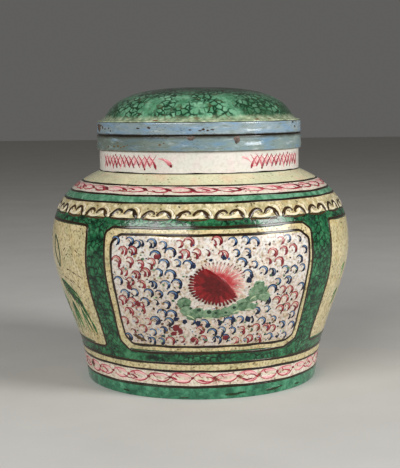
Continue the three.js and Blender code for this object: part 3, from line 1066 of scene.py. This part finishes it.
SCROLL_COUNT = 35
high_scroll = Drawing().strokes(
    ([(-4.6, 0.3), (0, 0.9), (4.4, 0.2)], 1.7, press_tapered, 0.04, 0.95),
    ([(-5.4, 0.9), (-3, 1.7), (0.5, 1.7), (3.4, 0.9), (5.0, -0.3)], 0.8, press_comma, 0.08, 0.4),
    ([(-5.2, 0.2), (-3.2, -1.1), (0.2, -1.6), (3.6, -1.4), (6.2, -0.5)], 1.05, press_comma, 0.08, 0.3),
    ([(3.4, 1.2), (5.2, 0.2), (7.2, -1.1)], 1.6, press_leaf, 0.12, 0.0),
)
low_scroll = Drawing().strokes(
    ([(-4.2, 0.9), (-0.4, 1.5), (4.2, 0.6)], 1.7, press_tapered, 0.03, 1.0),
    ([(-3.8, -1.2), (-0.2, -2.0), (3.8, -1.2)], 1.4, press_tapered, 0.03, 0.95),
    ([(-5.2, 0.2), (-3.6, -1.6), (-0.2, -2.5), (3.4, -1.8), (5.2, 0.1)], 0.8, press_comma, 0.07, 0.25),
    ([(-5.0, 0.4), (-3.6, 1.6), (-1.0, 2.0), (2.0, 1.8), (5.3, 0.1)], 0.8, press_tail, 0.07, 0.35),
    ([(-2.8, 1.7), (-1.9, 0.4), (-0.5, 0.0)], 0.7, press_tail, 0.07, 0.15),
).dab((5.2, 0.1), (1.0, 0.75), 20, 0.12, 0.0, 10)
smudge = Drawing().strokes(
    ([(-4.4, -0.2), (-1.4, -1.4), (1.6, -1.2), (4.2, 0.2)], 0.8, press_tail, 0.1, 0.1),
    ([(-1.0, 0.4), (1.6, 0.8), (4.6, -0.4)], 1.1, press_comma, 0.1, 0.15),
)
for name, shape, run, angle, count, seed, waver in (
    ("high_scroll", high_scroll, 97.2, 1.9, SCROLL_COUNT, 9, 1.3),
    ("high_scroll_accents", smudge, 97.1, 0, 22, 4, 2.6),
    ("low_scroll", low_scroll, 4.5, 1.1, SCROLL_COUNT, 8, 1.5),
    ("low_scroll_accents", smudge, 3.9, 3, 19, 12, 3.0),
):
    ringed(name, shape, run, angle, count, GROUND, CRIMSON, seed, waver)

KNOTS = ((6.4, 3.7, 2.2), (17.4, 4.2, 1.5), (27.0, 4.4, 1.7), (196, 4.0, 2.0))  # angle, run and reach
RUSTY_BLOT = (-64, 4.6)
knots = Drawing(14)
for angle, run, size in KNOTS:
    x = math.radians(angle) * FLAT_RADIUS
    for turn in np.radians(range(0, 360, 45)):
        reach = size * knots.random.uniform(0.6, 1.05)
        tip = (x + reach * math.cos(turn) * 1.25, run + reach * math.sin(turn))
        knots.stroke(arched((x, run), tip, 0.1), 0.6, press_tail, 0.1, 0.45)
    knots.dab((x, run), (0.9, 0.7), 0, 0.14, 0.2, 10, 0.1)
knots.dab((math.radians(RUSTY_BLOT[0]) * FLAT_RADIUS, RUSTY_BLOT[1]), (2.0, 1.9), -30, 0.14, 0.05, 16, 0.12)
laid("low_scroll_knots", knots.mesh("knots"), BODY, 0, 0, GROUND, RUST, *ON_BODY)

# The panels. Their places are flat, from the panel's middle.

FLOWER = (1.6, 4.2)  # its middle
# Ovals of a flower panel, as (x, y, half width, half height): where its crescents are rose instead of blue,
# and where it has none, under the flower and at the corners
PATCHES_OF_ROSE = (
    (-32, 13, 10, 9.5), (-4, 21, 11, 6), (30, 17, 11, 7), (36, -6, 10, 6.5),
    (-38, -11, 9, 10), (-11, -21, 11, 6), (21, -21, 12, 4.5),
)
BLANKS = (
    (*FLOWER, 14.8, 12.2), (-11.8, -7.0, 6.0, 7.0), (1.5, -9.4, 12.0, 5.4), (14.5, -6.6, 8.0, 5.6),
    (21.4, 0.4, 6.8, 6.4), (-46.5, 28, 6, 6), (46.5, 28, 6, 6), (-47, -28, 6, 6), (47, -28, 7, 7),
)

CRESCENT_RADIUS = 2.3
CRESCENT_FIELD = {
    "Width": 83.0, "Height": 47.0, "Columns": 16, "Rows": 11, "Stagger": 2.6, "Jitter": (1.2, 0.95, 0.0),
    "Turn Low": -0.75, "Turn High": 0.35, "Small": 0.72, "Large": 1.08,
}
FIELD_ASIDE = (-1.3, -0.4)  # how far the field's middle lies from the panel's
turn = np.radians(np.linspace(172, -62, 8))
crescent = Drawing().stroke(
    np.stack([CRESCENT_RADIUS * np.cos(turn), CRESCENT_RADIUS * np.sin(turn)], 1), 2.5,
    lambda t: np.clip(0.4 + 1.0 * t, 0, 1) * np.clip((1 - t) * 7, 0.5, 1), 0.07, -0.03, WASHED,
    fill=lambda t: np.clip(np.minimum(t * 5, (0.8 - t) * 5), 0, 1), step=1.25,
)
crescent_motif = motif(crescent, "crescent")
BLOT = [(-1.6, 1.0), (0.3, 1.0), (1.3, -0.4), (1.0, -1.9)]
blot_motif = motif(Drawing().stroke(BLOT, 1.9, press_comma, 0.09, 0.05, step=1.0), "blot")
crescents = scatter_tree("crescent_ground", PATCHES_OF_ROSE, BLANKS)


FLOWER_RADII = (12.5, 10.2)
HEART = [
    (-7.4, 7.0), (-5.0, 7.9), (-1.8, 6.3), (1.8, 3.4), (5.0, 0.2), (7.6, -3.6), (8.6, -6.4), (5.0, -6.6),
    (0.4, -6.6), (-4.2, -6.0), (-7.6, -3.6), (-8.8, 0.4), (-8.8, 4.0),
]
HEART_EDGE = [(-1.6, 5.8), (1.8, 3.7), (4.8, 0.6), (7.4, -3.2), (9.6, -7.2)]


def away(angle, share):
    """The point at this angle and share of the way from the flower's middle to its edge."""
    return FLOWER_RADII[0] * share * math.cos(angle), FLOWER_RADII[1] * share * math.sin(angle)


def flower(seed):
    """A peony: pale petals behind, and deep red ones in front of them, each row with dark tips."""
    drawing = Drawing(seed)
    fan = [away(angle, drawing.random.uniform(0.55, 0.66)) for angle in np.radians(np.linspace(-44, 130, 26))]
    drawing.patch(fan + [(-3.5, -3.5)], 0.08, 0.7, 0.5, 0.9)
    for angle in np.radians(np.linspace(-42, 128, 34)):
        reach = drawing.random.uniform(0.9, 1.06)
        bend = angle + drawing.random.uniform(-0.05, 0.05)
        tip = away(angle - drawing.random.uniform(-0.03, 0.08), reach)
        drawing.stroke([away(angle, 0.3), away(bend, 0.65), tip], 0.85, press_tail, 0.12,
                       shade=lambda t: 0.46 + 0.5 * t)
    for angle in np.radians(np.linspace(122, 318, 25)):
        reach = drawing.random.uniform(0.93, 1.03)
        bend = angle + drawing.random.uniform(-0.06, 0.06)
        drawing.stroke([away(angle, 0.2), away(bend, 0.6), away(angle, reach)], 2.3, press_leaf, 0.15,
                       shade=lambda t: 0.36 + 0.22 * t)
        tip = reach + drawing.random.uniform(0, 0.05)
        hair = [away(angle, share) for share in (0.72, (0.72 + tip) / 2, tip)]
        drawing.stroke(hair, 1.25, press_comma, 0.2, shade=lambda t: 0.4 - 0.4 * t)
    for angle in np.radians(np.linspace(24, 120, 14)):
        drawing.stroke([away(angle, share) for share in (0.93, 0.98, 1.05)], 0.6, press_comma, 0.16, 0.15)
    drawing.patch(smooth(HEART + HEART[:1], 0.8)[:-1], 0.22, 0.24, 0.1, 0.95)
    for angle in np.radians(np.linspace(120, 312, 44)):
        start, end = drawing.random.uniform(0.4, 0.56), drawing.random.uniform(0.74, 0.9)
        drawing.stroke([away(angle, share) for share in (start, (start + end) / 2, end)], 1.1, press_tapered,
                       0.22, drawing.random.uniform(0.1, 0.4))
    return drawing.stroke(HEART_EDGE, 0.55, press_tapered, 0.28, 0.66)


# The leaves under the flower: ragged lobes, as (x, y, half width, half height, turn), dark spots on them, as
# (x, y, radius), and dark and pale veins, as (x, y) to (x, y)
LOBES = (
    (-12.8, -4.6, 3.4, 2.9, 20), (-14.2, -3.8, 1.9, 1.4, 0), (-11.8, -8.4, 3.4, 3.2, -40),
    (-9.6, -11.0, 2.8, 2.4, 0), (-6.6, -9.4, 3.4, 2.8, 0), (-2.4, -10.0, 3.4, 2.5, 0),
    (1.8, -10.0, 3.2, 2.5, 0), (6.0, -9.4, 3.4, 2.7, 10), (9.8, -8.0, 3.4, 2.9, 20),
    (13.8, -6.4, 3.6, 2.9, 10), (17.2, -7.2, 3.2, 2.1, 0), (13.4, -4.4, 2.9, 1.4, 5),
    (16.6, -3.4, 2.6, 1.9, 10), (20.4, 3.0, 3.0, 2.6, 30), (18.2, 0.4, 2.8, 2.3, 30),
    (22.4, 0.8, 2.7, 2.2, 0), (18.8, -2.6, 2.8, 2.2, 0), (23.2, -2.4, 3.4, 2.7, -10),
)
LEAF_SPOTS = (
    (-6.3, -7.8, 1.1), (-1.7, -8.9, 1.25), (1.3, -9.4, 0.9), (5.9, -9.4, 0.9), (9.6, -7.0, 1.0),
    (-10.0, -7.0, 0.7), (-13.0, -5.4, 0.6),
)
DARK_VEINS = (
    ((-15, -2.6), (-11, -2.2)), ((-14, -6.4), (-10, -5.6)), ((11, -6.2), (16.6, -4.6)),
    ((18, 3.4), (22, 4.4)), ((20, -1.4), (25, -1.2)), ((-9, -12.4), (-5, -12.0)), ((4, -11.6), (8, -11.2)),
)
PALE_VEINS = (
    ((-12, -10.6), (-8.4, -12.6)), ((-4, -12.2), (0, -12.4)), ((14.6, -8.6), (18.6, -8.8)),
    ((16.6, -3.6), (19.6, -1.8)), ((9, -9.9), (12.6, -8.8)),
)


def leaves(seed):
    """The leaves under the flower: overlapping ragged lobes with dark spots and veins."""
    drawing = Drawing(seed)
    for i, (x, y, half_width, half_height, turn) in enumerate(LOBES):
        tone = 0.45 + 0.1 * (i % 3 - 1)
        drawing.dab((x, y), (half_width, half_height), turn, 0.16 + 0.006 * i, tone, 26, 0.12)
    for x, y, size in LEAF_SPOTS:
        drawing.dab((x, y), (size, size * 0.85), 0, 0.28, -0.1, 12, 0.14)
    for veins, rise, width, shade in ((DARK_VEINS, 0.6, 0.45, 0.1), (PALE_VEINS, 0.4, 0.8, 0.95)):
        for start, end in veins:
            drawing.stroke(arched(start, end, rise), width, press_tapered, 0.28, shade)
    return drawing


# Dabs between the crescents, as (x, y, half width, half height)
BLUE_DABS = (
    (-17.0, -12.7, 1.5, 1.2), (-13.0, -13.9, 1.4, 1.2), (-6.9, -14.9, 1.5, 1.4), (-2.3, -16.0, 1.5, 1.2),
    (16.9, -13.6, 1.5, 1.9), (9.6, -13.2, 1.1, 1.5), (3.2, -14.6, 0.9, 2.2), (15.4, 6.0, 1.3, 1.7),
    (-13.9, 17.1, 0.9, 0.8), (-1.1, 15.6, 0.9, 0.7), (4.4, 16.6, 1.2, 1.2), (-15.2, 1.0, 1.3, 0.7),
)
RED_DABS = (
    (-17.4, -17.2, 2.1, 1.7), (-18.8, -20.2, 1.8, 1.3), (-15.4, -19.0, 1.4, 1.7), (-37.6, 2.4, 1.6, 1.2),
    (6.6, -22.4, 1.7, 1.3), (-34.6, -5.4, 1.4, 1.6), (-9.6, -23.4, 1.7, 1.0), (-23.6, 17.2, 1.7, 1.3),
)
SMEAR = [(-40.6, -22.0), (-37.4, -23.4), (-33.4, -24.8)]
SPECK_REACH = 39.0  # how far specks lie from the panel's middle
SPECK_TOP, SPECK_DEPTH = 24.0, 50.0  # they lie thickest at the bottom
SPECK_FREE = (13.5, 11.0)  # half sizes of the oval about the flower that they leave free


def specks(seed, count, largest):
    """Specks of up to about this size, strewn over a panel."""
    drawing = Drawing(seed)
    random = drawing.random
    for _ in range(count):
        x = random.uniform(-SPECK_REACH, SPECK_REACH)
        y = SPECK_TOP - SPECK_DEPTH * random.uniform() ** 0.6
        if ((x - FLOWER[0]) / SPECK_FREE[0]) ** 2 + ((y - FLOWER[1]) / SPECK_FREE[1]) ** 2 > 1:
            size = random.uniform(0.25, largest)
            turn, shade = random.uniform(0, 180), random.uniform(0, 0.9)
            drawing.dab((x, y), (size * 1.3, size), turn, 0.08, shade, 6, 0.2)
    return drawing


def dabs(seed, places, shade, turn=20, crown=0.12, corners=14, ragged=0.22):
    """Blots at these places, each (x, y, half width, half height)."""
    drawing = Drawing(seed)
    for x, y, half_width, half_height in places:
        drawing.dab((x, y), (half_width, half_height), turn, crown, shade, corners, ragged)
    return drawing


def on_panel(name, mesh, middle, material, aside=(0, 0), lift=PANEL_GROUND):
    """Lays a flat drawing on a panel, with its origin this far aside of the panel's middle."""
    angle = middle + math.degrees(aside[0] / FLAT_RADIUS)
    laid(name, mesh, BODY, angle, PANEL_MIDDLE + aside[1], lift, material, *ON_BODY)


def flower_panel(side, middle):
    """A white panel full of crescents, with a peony and its leaves."""
    panel(side + "_panel_border", BODY, PANEL_OUTER, middle, GROUND, CREAM, *ON_BODY)
    panel(side + "_panel_ground", BODY, PANEL_INNER, middle, PANEL_GROUND, PANEL_WHITE, *ON_BODY)
    for label, inside, material, shape, share, seed in (
        ("cobalt_crescents", False, COBALT, crescent_motif, 0.9, 5),
        ("rose_crescents", True, ROSE, crescent_motif, 0.9, 5),
        ("cobalt_blots", False, COBALT, blot_motif, 0.5, 8),
        ("rose_blots", True, ROSE, blot_motif, 0.55, 8),
    ):
        made = grown(crescents, CRESCENT_FIELD | {
            "Share": share, "Inside": inside, "Seed": seed, "Motif": shape, "Material": material,
        })
        on_panel(f"{side}_{label}", made, middle, material, FIELD_ASIDE)
    for label, drawing, material in (
        ("blue_dabs", dabs(23, BLUE_DABS, 0.2), COBALT),
        ("red_dabs", dabs(24, RED_DABS, 0.15), ROSE),
        ("smear", Drawing(25).stroke(SMEAR, 2.2, press_tapered, 0.1, 0.55, waver=0.2), BISTRE),
        ("grit", specks(26, 190, 0.75), GRIT),
        ("blue_drips", specks(27, 90, 0.6), COBALT),
        ("green_flecks", specks(28, 90, 0.75), LEAF),
        ("leaves", leaves(21), LEAF),
    ):
        on_panel(f"{side}_{label}", drawing.mesh(label), middle, material)
    on_panel(side + "_flower", flower(22).mesh("flower"), middle, PETAL, FLOWER, PANEL_GROUND + 0.04)
    panel_line(side + "_panel_outer_line", PANEL_OUTER, middle, LINE_WIDTH, 11)
    panel_line(side + "_panel_inner_line", PANEL_INNER, middle, LINE_WIDTH + 0.1, 12)


flower_panel("front", FRONT_ANGLE)
flower_panel("back", FRONT_ANGLE + 180)


def bamboo(stems, sprays, seed):
    """Bamboo: jointed stems, and sprays of long leaves from a point out to their tips."""
    drawing = Drawing(seed)
    for (x, y), (u, v), joints in stems:
        for i in range(joints):
            a, b = (i + 0.04) / joints, (i + 0.96) / joints
            start, end = ((x + (u - x) * share, y + (v - y) * share) for share in (a, b))
            joint = [(end[0] - 0.8, end[1] + 0.1), end, (end[0] + 0.8, end[1] + 0.25)]
            drawing.stroke(arched(start, end, 0, 0.25), 1.0, press_even, 0.08, 0.75)
            drawing.stroke(joint, 0.5, press_tapered, 0.1, 0.1)
    for foot, tips in sprays:
        for tip in tips:
            bend = drawing.random.uniform(-0.06, 0.06) * math.dist(foot, tip)
            leaf = arched(foot, tip, abs(bend), bend)
            width, shade = drawing.random.uniform(1.3, 2.2), drawing.random.uniform(0.3, 0.9)
            drawing.stroke(leaf, width, press_leaf, 0.07, shade)
            drawing.stroke(leaf, 0.4, press_tapered, 0.12, 0.0)
    return drawing


LEFT_STEMS = (((-14, -29), (-6, 26), 6), ((8, -9), (-8, 8), 3))
LEFT_SPRAYS = (
    ((7, -8), ((17, -13), (20, -25), (14, -20), (12, -27))),
    ((19, 1), ((36.5, -5), (34, -3.6), (30, -6), (26, -9))),
    ((25, -1), ((36, -8), (34.5, -12), (38, -7), (33, -9))),
    ((31, -4), ((35, -14), (38.5, -11), (32, -14))),
    ((36, -6), ((40, -15), (40.5, -19), (43.2, -25), (38, -18), (37, -14))),
    ((41, -18), ((43, -25.5), (42, -24.5), (43.6, -24))),
    ((34.5, -12), ((40.4, -26), (38, -21), (36, -25))),
    ((26.4, -9.4), ((26.4, -19), (23.6, -28), (28.5, -24), (21, -24), (31, -19), (30, -26))),
    ((-6, 24), ((-22, 18), (-18, 10), (4, 20), (-10, 12))),
    ((-12, -6), ((-28, -12), (-24, -20), (-30, -4), (-18, -22))),
)
RIGHT_STEMS = (((10, -29), (16, 26), 6), ((14, -4), (27, 10), 3))
RIGHT_SPRAYS = (
    ((26, 10), ((39, 4), (36, -3), (40, 14), (28, -5))),
    ((15, 25), ((0, 21), (5, 13), (26, 21), (13, 12))),
    ((12, -8), ((-5, -13), (-10, -20), (1, -23), (-8, -7))),
    ((13, -16), ((27, -22), (32, -27), (21, -27), (30, -17))),
    ((-27, -6), ((-33.6, -10.5), (-32.5, -15.5), (-30, -14))),
    ((-26, 7), ((-31.5, 3.5), (-29, -1))),
)
# The two sides of a leaf drawn in outline on the left panel, and a dark tangle of strokes under it
OUTLINED_LEAF = (
    ((17.4, 22.6), (22.6, 18.8), (25.0, 12.8), (22.8, 6.8)),
    ((17.4, 22.6), (17.8, 15.6), (22.8, 6.8)),
)
TANGLE_START, TANGLE_END = (21.0, -0.6), (36.0, -9.0)
TANGLE_COUNT = 34
# Short brown marks on the left panel, as (middle, half length, half height)
DASHES = (
    (31, 16.5, 1.3, 1.0), (33.5, 14.2, 1.1, 0.9), (30.5, 12.0, 0.9, 0.9), (37, 18.0, 1.0, -0.5),
    (42, 16.6, 1.2, -0.6), (33, 6.8, 1.6, 0.1), (38, 5.8, 1.6, -0.4), (42.5, 4.6, 1.2, -0.5),
    (36, 1.2, 0.9, -0.7), (40, -1.2, 0.9, -0.9), (28, 2.4, 1.6, -0.6), (33.5, 1.0, 1.2, -0.4),
)


def left_dashes(seed):
    drawing = Drawing(seed)
    for x, y, half_length, half_height in DASHES:
        ends = (x - half_length, y - half_height), (x + half_length, y + half_height)
        drawing.stroke(arched(*ends, 0.2), 0.35 + 0.16 * half_length, press_tapered, 0.07, 0.45)
    return drawing


def left_tangle(seed):
    """The leaf in outline, and the tangle."""
    drawing = Drawing(seed)
    random = drawing.random
    for edge in OUTLINED_LEAF:
        drawing.stroke(edge, 1.5, press_even, 0.08, 0.1)
    for share in np.linspace(0, 1, TANGLE_COUNT):
        x, y = (a + (b - a) * share + random.uniform(-1.5, 1.5) for a, b in zip(TANGLE_START, TANGLE_END))
        turn, reach = math.radians(random.uniform(-95, -10)), random.uniform(2.0, 4.6)
        tip = (x + reach * math.cos(turn), y + reach * math.sin(turn))
        width, shade = random.uniform(0.7, 1.5), random.uniform(-0.4, 0.15)
        drawing.stroke(arched((x, y), tip, 0.2, 0.2), width, press_leaf, 0.13, shade)
    return drawing


for side, middle, stems, sprays in (
    ("right", FRONT_ANGLE + 90, RIGHT_STEMS, RIGHT_SPRAYS),
    ("left", FRONT_ANGLE - 90, LEFT_STEMS, LEFT_SPRAYS),
):
    panel(side + "_panel_ground", BODY, SIDE_PANEL, middle, GROUND, CREAM, *ON_BODY)
    panel_line(side + "_panel_line", SIDE_PANEL, middle, LINE_WIDTH, 13)
    on_panel(side + "_bamboo", bamboo(stems, sprays, 31).mesh("bamboo"), middle, BAMBOO, lift=GROUND)
for name, drawing, material in (
    ("left_dashes", left_dashes(35), BISTRE), ("left_tangle", left_tangle(36), BAMBOO),
):
    on_panel(name, drawing.mesh(name), FRONT_ANGLE - 90, material, lift=GROUND)

# The neck: a leaf and a row of crossed strokes at each side, front and back.

CROSS_COUNT = 12
CROSS_START = -35.8
CROSS_PITCH = 3.1
WASH_START, WASH_PITCH = -35.5, 3.0  # of the pale washes under the crosses
NECK_STROKE_RUN = 7.1  # of the middle of the row
# The two strokes of a cross: which way it leans, its width, and its shade where it starts and ends
CROSS = ((-1, 0.95, 0.3, 0.7), (1, 1.35, 0.45, 0.1))


def crossed_strokes(mirror, seed):
    """A row of crossed strokes over pale washes, and a leaf at its end by the middle of the neck."""
    drawing = Drawing(seed)
    random = drawing.random
    side = -1 if mirror else 1
    for i in range(CROSS_COUNT):
        x = WASH_START + WASH_PITCH * i
        wash = [(side * (x - 0.5), 2.5), (side * x, 0.9), (side * (x + 0.4), -1.2)]
        drawing.stroke(wash, 2.9, press_tapered, 0.03, 1.05)
    for i in range(CROSS_COUNT):
        for lean, width, pale, deep in CROSS:
            x = CROSS_START + CROSS_PITCH * i + random.uniform(-0.5, 0.5)
            top = (side * (x - lean * 1.9), 3.2 + random.uniform(-0.7, 0.6))
            end = (side * (x + lean * 1.7), -3.2 + random.uniform(-0.5, 1.1))
            middle = (side * (x + lean * 0.3), 0.3)
            drift = random.uniform(-0.15, 0.15)
            drawing.stroke([top, middle, end], width * random.uniform(0.8, 1.25), press_comma, 0.07,
                           shade=lambda t: pale + drift + (deep - pale) * t)
        mark = end if i > 5 else top
        if random.uniform() < 0.55:
            drawing.dab(mark, (0.5, 0.6), 0, 0.12, 0.1, 10, 0.1)
    if mirror:
        return drawing.strokes(
            ([(2.0, -0.9), (0.2, -1.9), (4.0, -2.2)], 1.0, press_leaf, 0.06, 0.8),
            ([(-4.6, 2.2), (-2.0, 1.4), (0.2, -0.4)], 1.4, press_tail, 0.06, 0.85),
        )
    drawing.stroke([(1.0, 1.8), (3.6, 1.3), (5.9, -0.1), (7.4, -1.7)], 2.3, press_comma, 0.08,
                   shade=lambda t: 0.85 - 0.3 * t)
    return drawing.dab((7.2, -1.6), (0.75, 0.85), 0, 0.14, 0.0, 12)


for name, angle, mirror in (
    ("front_left", -23.5, False), ("front_right", 28.5, True),
    ("back_left", 156.5, False), ("back_right", 208.5, True),
):
    mesh = crossed_strokes(mirror, 41).mesh(name)
    laid(name + "_neck_strokes", mesh, NECK, angle, NECK_STROKE_RUN, 0, CRIMSON, "jar", "white_neck",
         NECK.radius(NECK_STROKE_RUN))

# Painted shadow and grime in the joint between cover and collar, painted shade under the collar, a dark line
# at the dome's foot, and chips down to the copper

ON_COLLAR = ("jar", "blue_band")
ON_RIM = ("cover", "blue_band")
for seed, (name, skin, on, run, width, crown, swell, swell_angle, shade) in enumerate((
    # These two lines are painted shadow and grime in the gap between cover and collar.
    ("grime_on_collar", COLLAR, ON_COLLAR, COLLAR.length - 0.32, 0.95, 0.04, 0.25, -60, -0.3),
    ("grime_on_rim", RIM, ON_RIM, 0.32, 0.95, 0.04, 0.25, -60, -0.3),
    # A dark line at the dome's foot.
    ("grime_at_dome_foot", RIM, ON_RIM, RIM.length - 0.2, 0.6, 0.05, 0.3, 40, 0.1),
    # Painted shade under the collar's foot.
    ("grime_under_collar", COLLAR, ON_COLLAR, 0.3, 0.7, 0.04, 0.2, -60, 0.35),
), 51):
    ring_line(name, skin, (run, 0), width, crown, BISTRE, *on, seed, swell, swell_angle, shade)

# Small marks, as (angle, run, half width, half height)
CHIPS_ON_COLLAR = ((-4.2, 6.9, 1.9, 1.5), (20.0, 6.0, 1.9, 2.3), (118, 6.6, 1.5, 1.2), (196, 0.9, 2.2, 1.0))
CHIPS_ON_RIM = (
    (-72, 3.6, 2.1, 2.2), (-77, 4.6, 1.6, 1.3), (141, 1.0, 1.6, 0.7), (223, 4.4, 1.2, 0.8),
    (268, 2.4, 0.8, 0.9),
)
PITS_ON_RIM = (
    (-74, 3.8, 2.6, 1.7), (-69, 4.8, 1.2, 0.5), (-66, 3.9, 0.8, 0.9), (-62.5, 3.3, 0.6, 0.7),
    (-58, 3.6, 0.5, 0.5), (-56, 2.4, 0.5, 0.6), (-27, 4.0, 1.0, 0.6), (-33.8, 3.7, 1.1, 0.35),
    (-4.8, 2.9, 0.9, 0.3), (0.4, 2.5, 1.1, 0.35), (2.2, 3.1, 0.9, 0.6), (4.4, 2.6, 0.7, 0.5),
    (6.8, 2.9, 1.0, 0.3), (65.5, 3.4, 0.9, 0.7), (62, 5.6, 1.6, 0.4),
)
STAINS_ON_COLLAR = (
    (-52, 2.5, 0.8, 0.35), (-48.6, 2.9, 1.0, 0.4), (-46, 2.2, 0.7, 0.35), (-43.6, 2.7, 0.9, 0.3),
    (-41, 3.4, 0.5, 0.3), (-58, 2.4, 0.8, 0.45), (-20.8, 3.7, 0.7, 0.5), (-18.6, 4.4, 0.4, 0.35),
    (-49, 4.4, 0.6, 0.3),
)
SMEARS_ON_FOOT = (
    (14.0, 2.4, 4.0, 0.65), (18.6, 2.9, 2.4, 0.5), (35.0, 2.6, 4.4, 0.75), (39.5, 3.2, 1.8, 0.5),
    (-8.0, 1.3, 2.4, 0.45), (-38.0, 2.4, 2.4, 0.5), (52.0, 2.2, 2.4, 0.5), (130, 2.6, 4.0, 0.6),
    (215, 2.0, 3.0, 0.6),
)
SPOTS_ON_DOME = ((-24.2, 1.4, 1.5, 0.8), (16.2, 0.6, 1.6, 0.5), (33.2, 0.8, 1.5, 0.45), (163, 1.2, 1.2, 0.7))
# The marks of a kind keep their width at one radius, which is about the skin's own.
for label, skin, radius, places, shade, material, on in (
    ("foot_smears", FOOT, 58.0, SMEARS_ON_FOOT, 0.0, BAMBOO, ("jar", "green_foot")),
    ("dome_spots", DOME, 48.0, SPOTS_ON_DOME, 0.45, RUST, ("cover", "green_ground")),
    ("collar_chips", COLLAR, 50.85, CHIPS_ON_COLLAR, 0.5, CHIPPED, ON_COLLAR),
    ("collar_stains", COLLAR, 50.85, STAINS_ON_COLLAR, 0.75, BISTRE, ON_COLLAR),
    ("rim_chips", RIM, 50.65, CHIPS_ON_RIM, 0.5, CHIPPED, ON_RIM),
    ("rim_pits", RIM, 50.65, PITS_ON_RIM, 0.35, BISTRE, ON_RIM),
):
    flat = [(math.radians(angle) * radius, *rest) for angle, *rest in places]
    drawing = dabs(61, flat, shade, turn=0, crown=0.05, corners=18, ragged=0.18)
    laid(label, drawing.mesh(label), skin, 0, 0, 0, material, *on, radius)

for holder in MOTIFS:
    bpy.data.objects.remove(holder)

# The camera, and a plain studio

CAMERA_PLACE = (-0.1, -566.0, 134.7)
CAMERA_DOWN = 6.5
CAMERA_ROLL = -0.655
camera = bpy.data.objects.new("camera", bpy.data.cameras.new("camera"))
camera.data.lens = 87.0
camera.data.sensor_width = 36.0
camera.data.clip_start = 0.01
camera.data.clip_end = 50
camera.matrix_world = (
    Matrix.Translation(Vector(CAMERA_PLACE) * MM)
    @ Matrix.Rotation(math.radians(90 - CAMERA_DOWN), 4, "X")
    @ Matrix.Rotation(math.radians(CAMERA_ROLL), 4, "Z")
)
bpy.context.scene.collection.objects.link(camera)
bpy.context.scene.camera = camera


LAMP_DISTANCE = 1.2  # metres
AIM_HEIGHT = 70.0  # about the middle of the jar


def softbox(name, azimuth, elevation, size, watts):
    """A rectangular lamp, its size in metres, that faces the middle of the jar from this direction."""
    lamp = bpy.data.lights.new(name, "AREA")
    lamp.shape = "RECTANGLE"
    lamp.size, lamp.size_y = size
    lamp.energy = watts
    made = bpy.data.objects.new(name, lamp)
    a, e = math.radians(azimuth), math.radians(elevation)
    aim = Vector((0, 0, AIM_HEIGHT * MM))
    towards = Vector((math.sin(a) * math.cos(e), -math.cos(a) * math.cos(e), math.sin(e)))
    made.location = aim + LAMP_DISTANCE * towards
    made.rotation_euler = (aim - made.location).to_track_quat("-Z", "Y").to_euler()
    bpy.context.scene.collection.objects.link(made)


softbox("left_softbox", -33, 26, (1.0, 0.3), 11)
softbox("right_softbox", 60, 21, (0.45, 0.62), 13)

world = bpy.data.worlds.new("studio")
world.use_nodes = True
background = world.node_tree.nodes["Background"]
background.inputs["Color"].default_value = linear("#f2f0ec")
background.inputs["Strength"].default_value = 0.13
bpy.context.scene.world = world

floor_material, tree, shader, place = new_material("pale_floor_paint")
tree.links.new(clouded(tree, place, 60, ((0.3, "#c9c7c2"), (0.7, "#d0cec9"))), shader.inputs["Base Color"])
shader.inputs["Roughness"].default_value = 0.75
HALF_FLOOR = 4.0  # metres
floor_mesh = bpy.data.meshes.new("floor")
floor_mesh.from_pydata(
    [(x * HALF_FLOOR, y * HALF_FLOOR, 0) for x, y in ((-1, -1), (1, -1), (1, 1), (-1, 1))], [], [(0, 1, 2, 3)]
)
floor_mesh.materials.append(floor_material)
floor = bpy.data.objects.new("floor", floor_mesh)
bpy.context.scene.collection.objects.link(floor)

bpy.context.scene.view_settings.view_transform = "Standard"
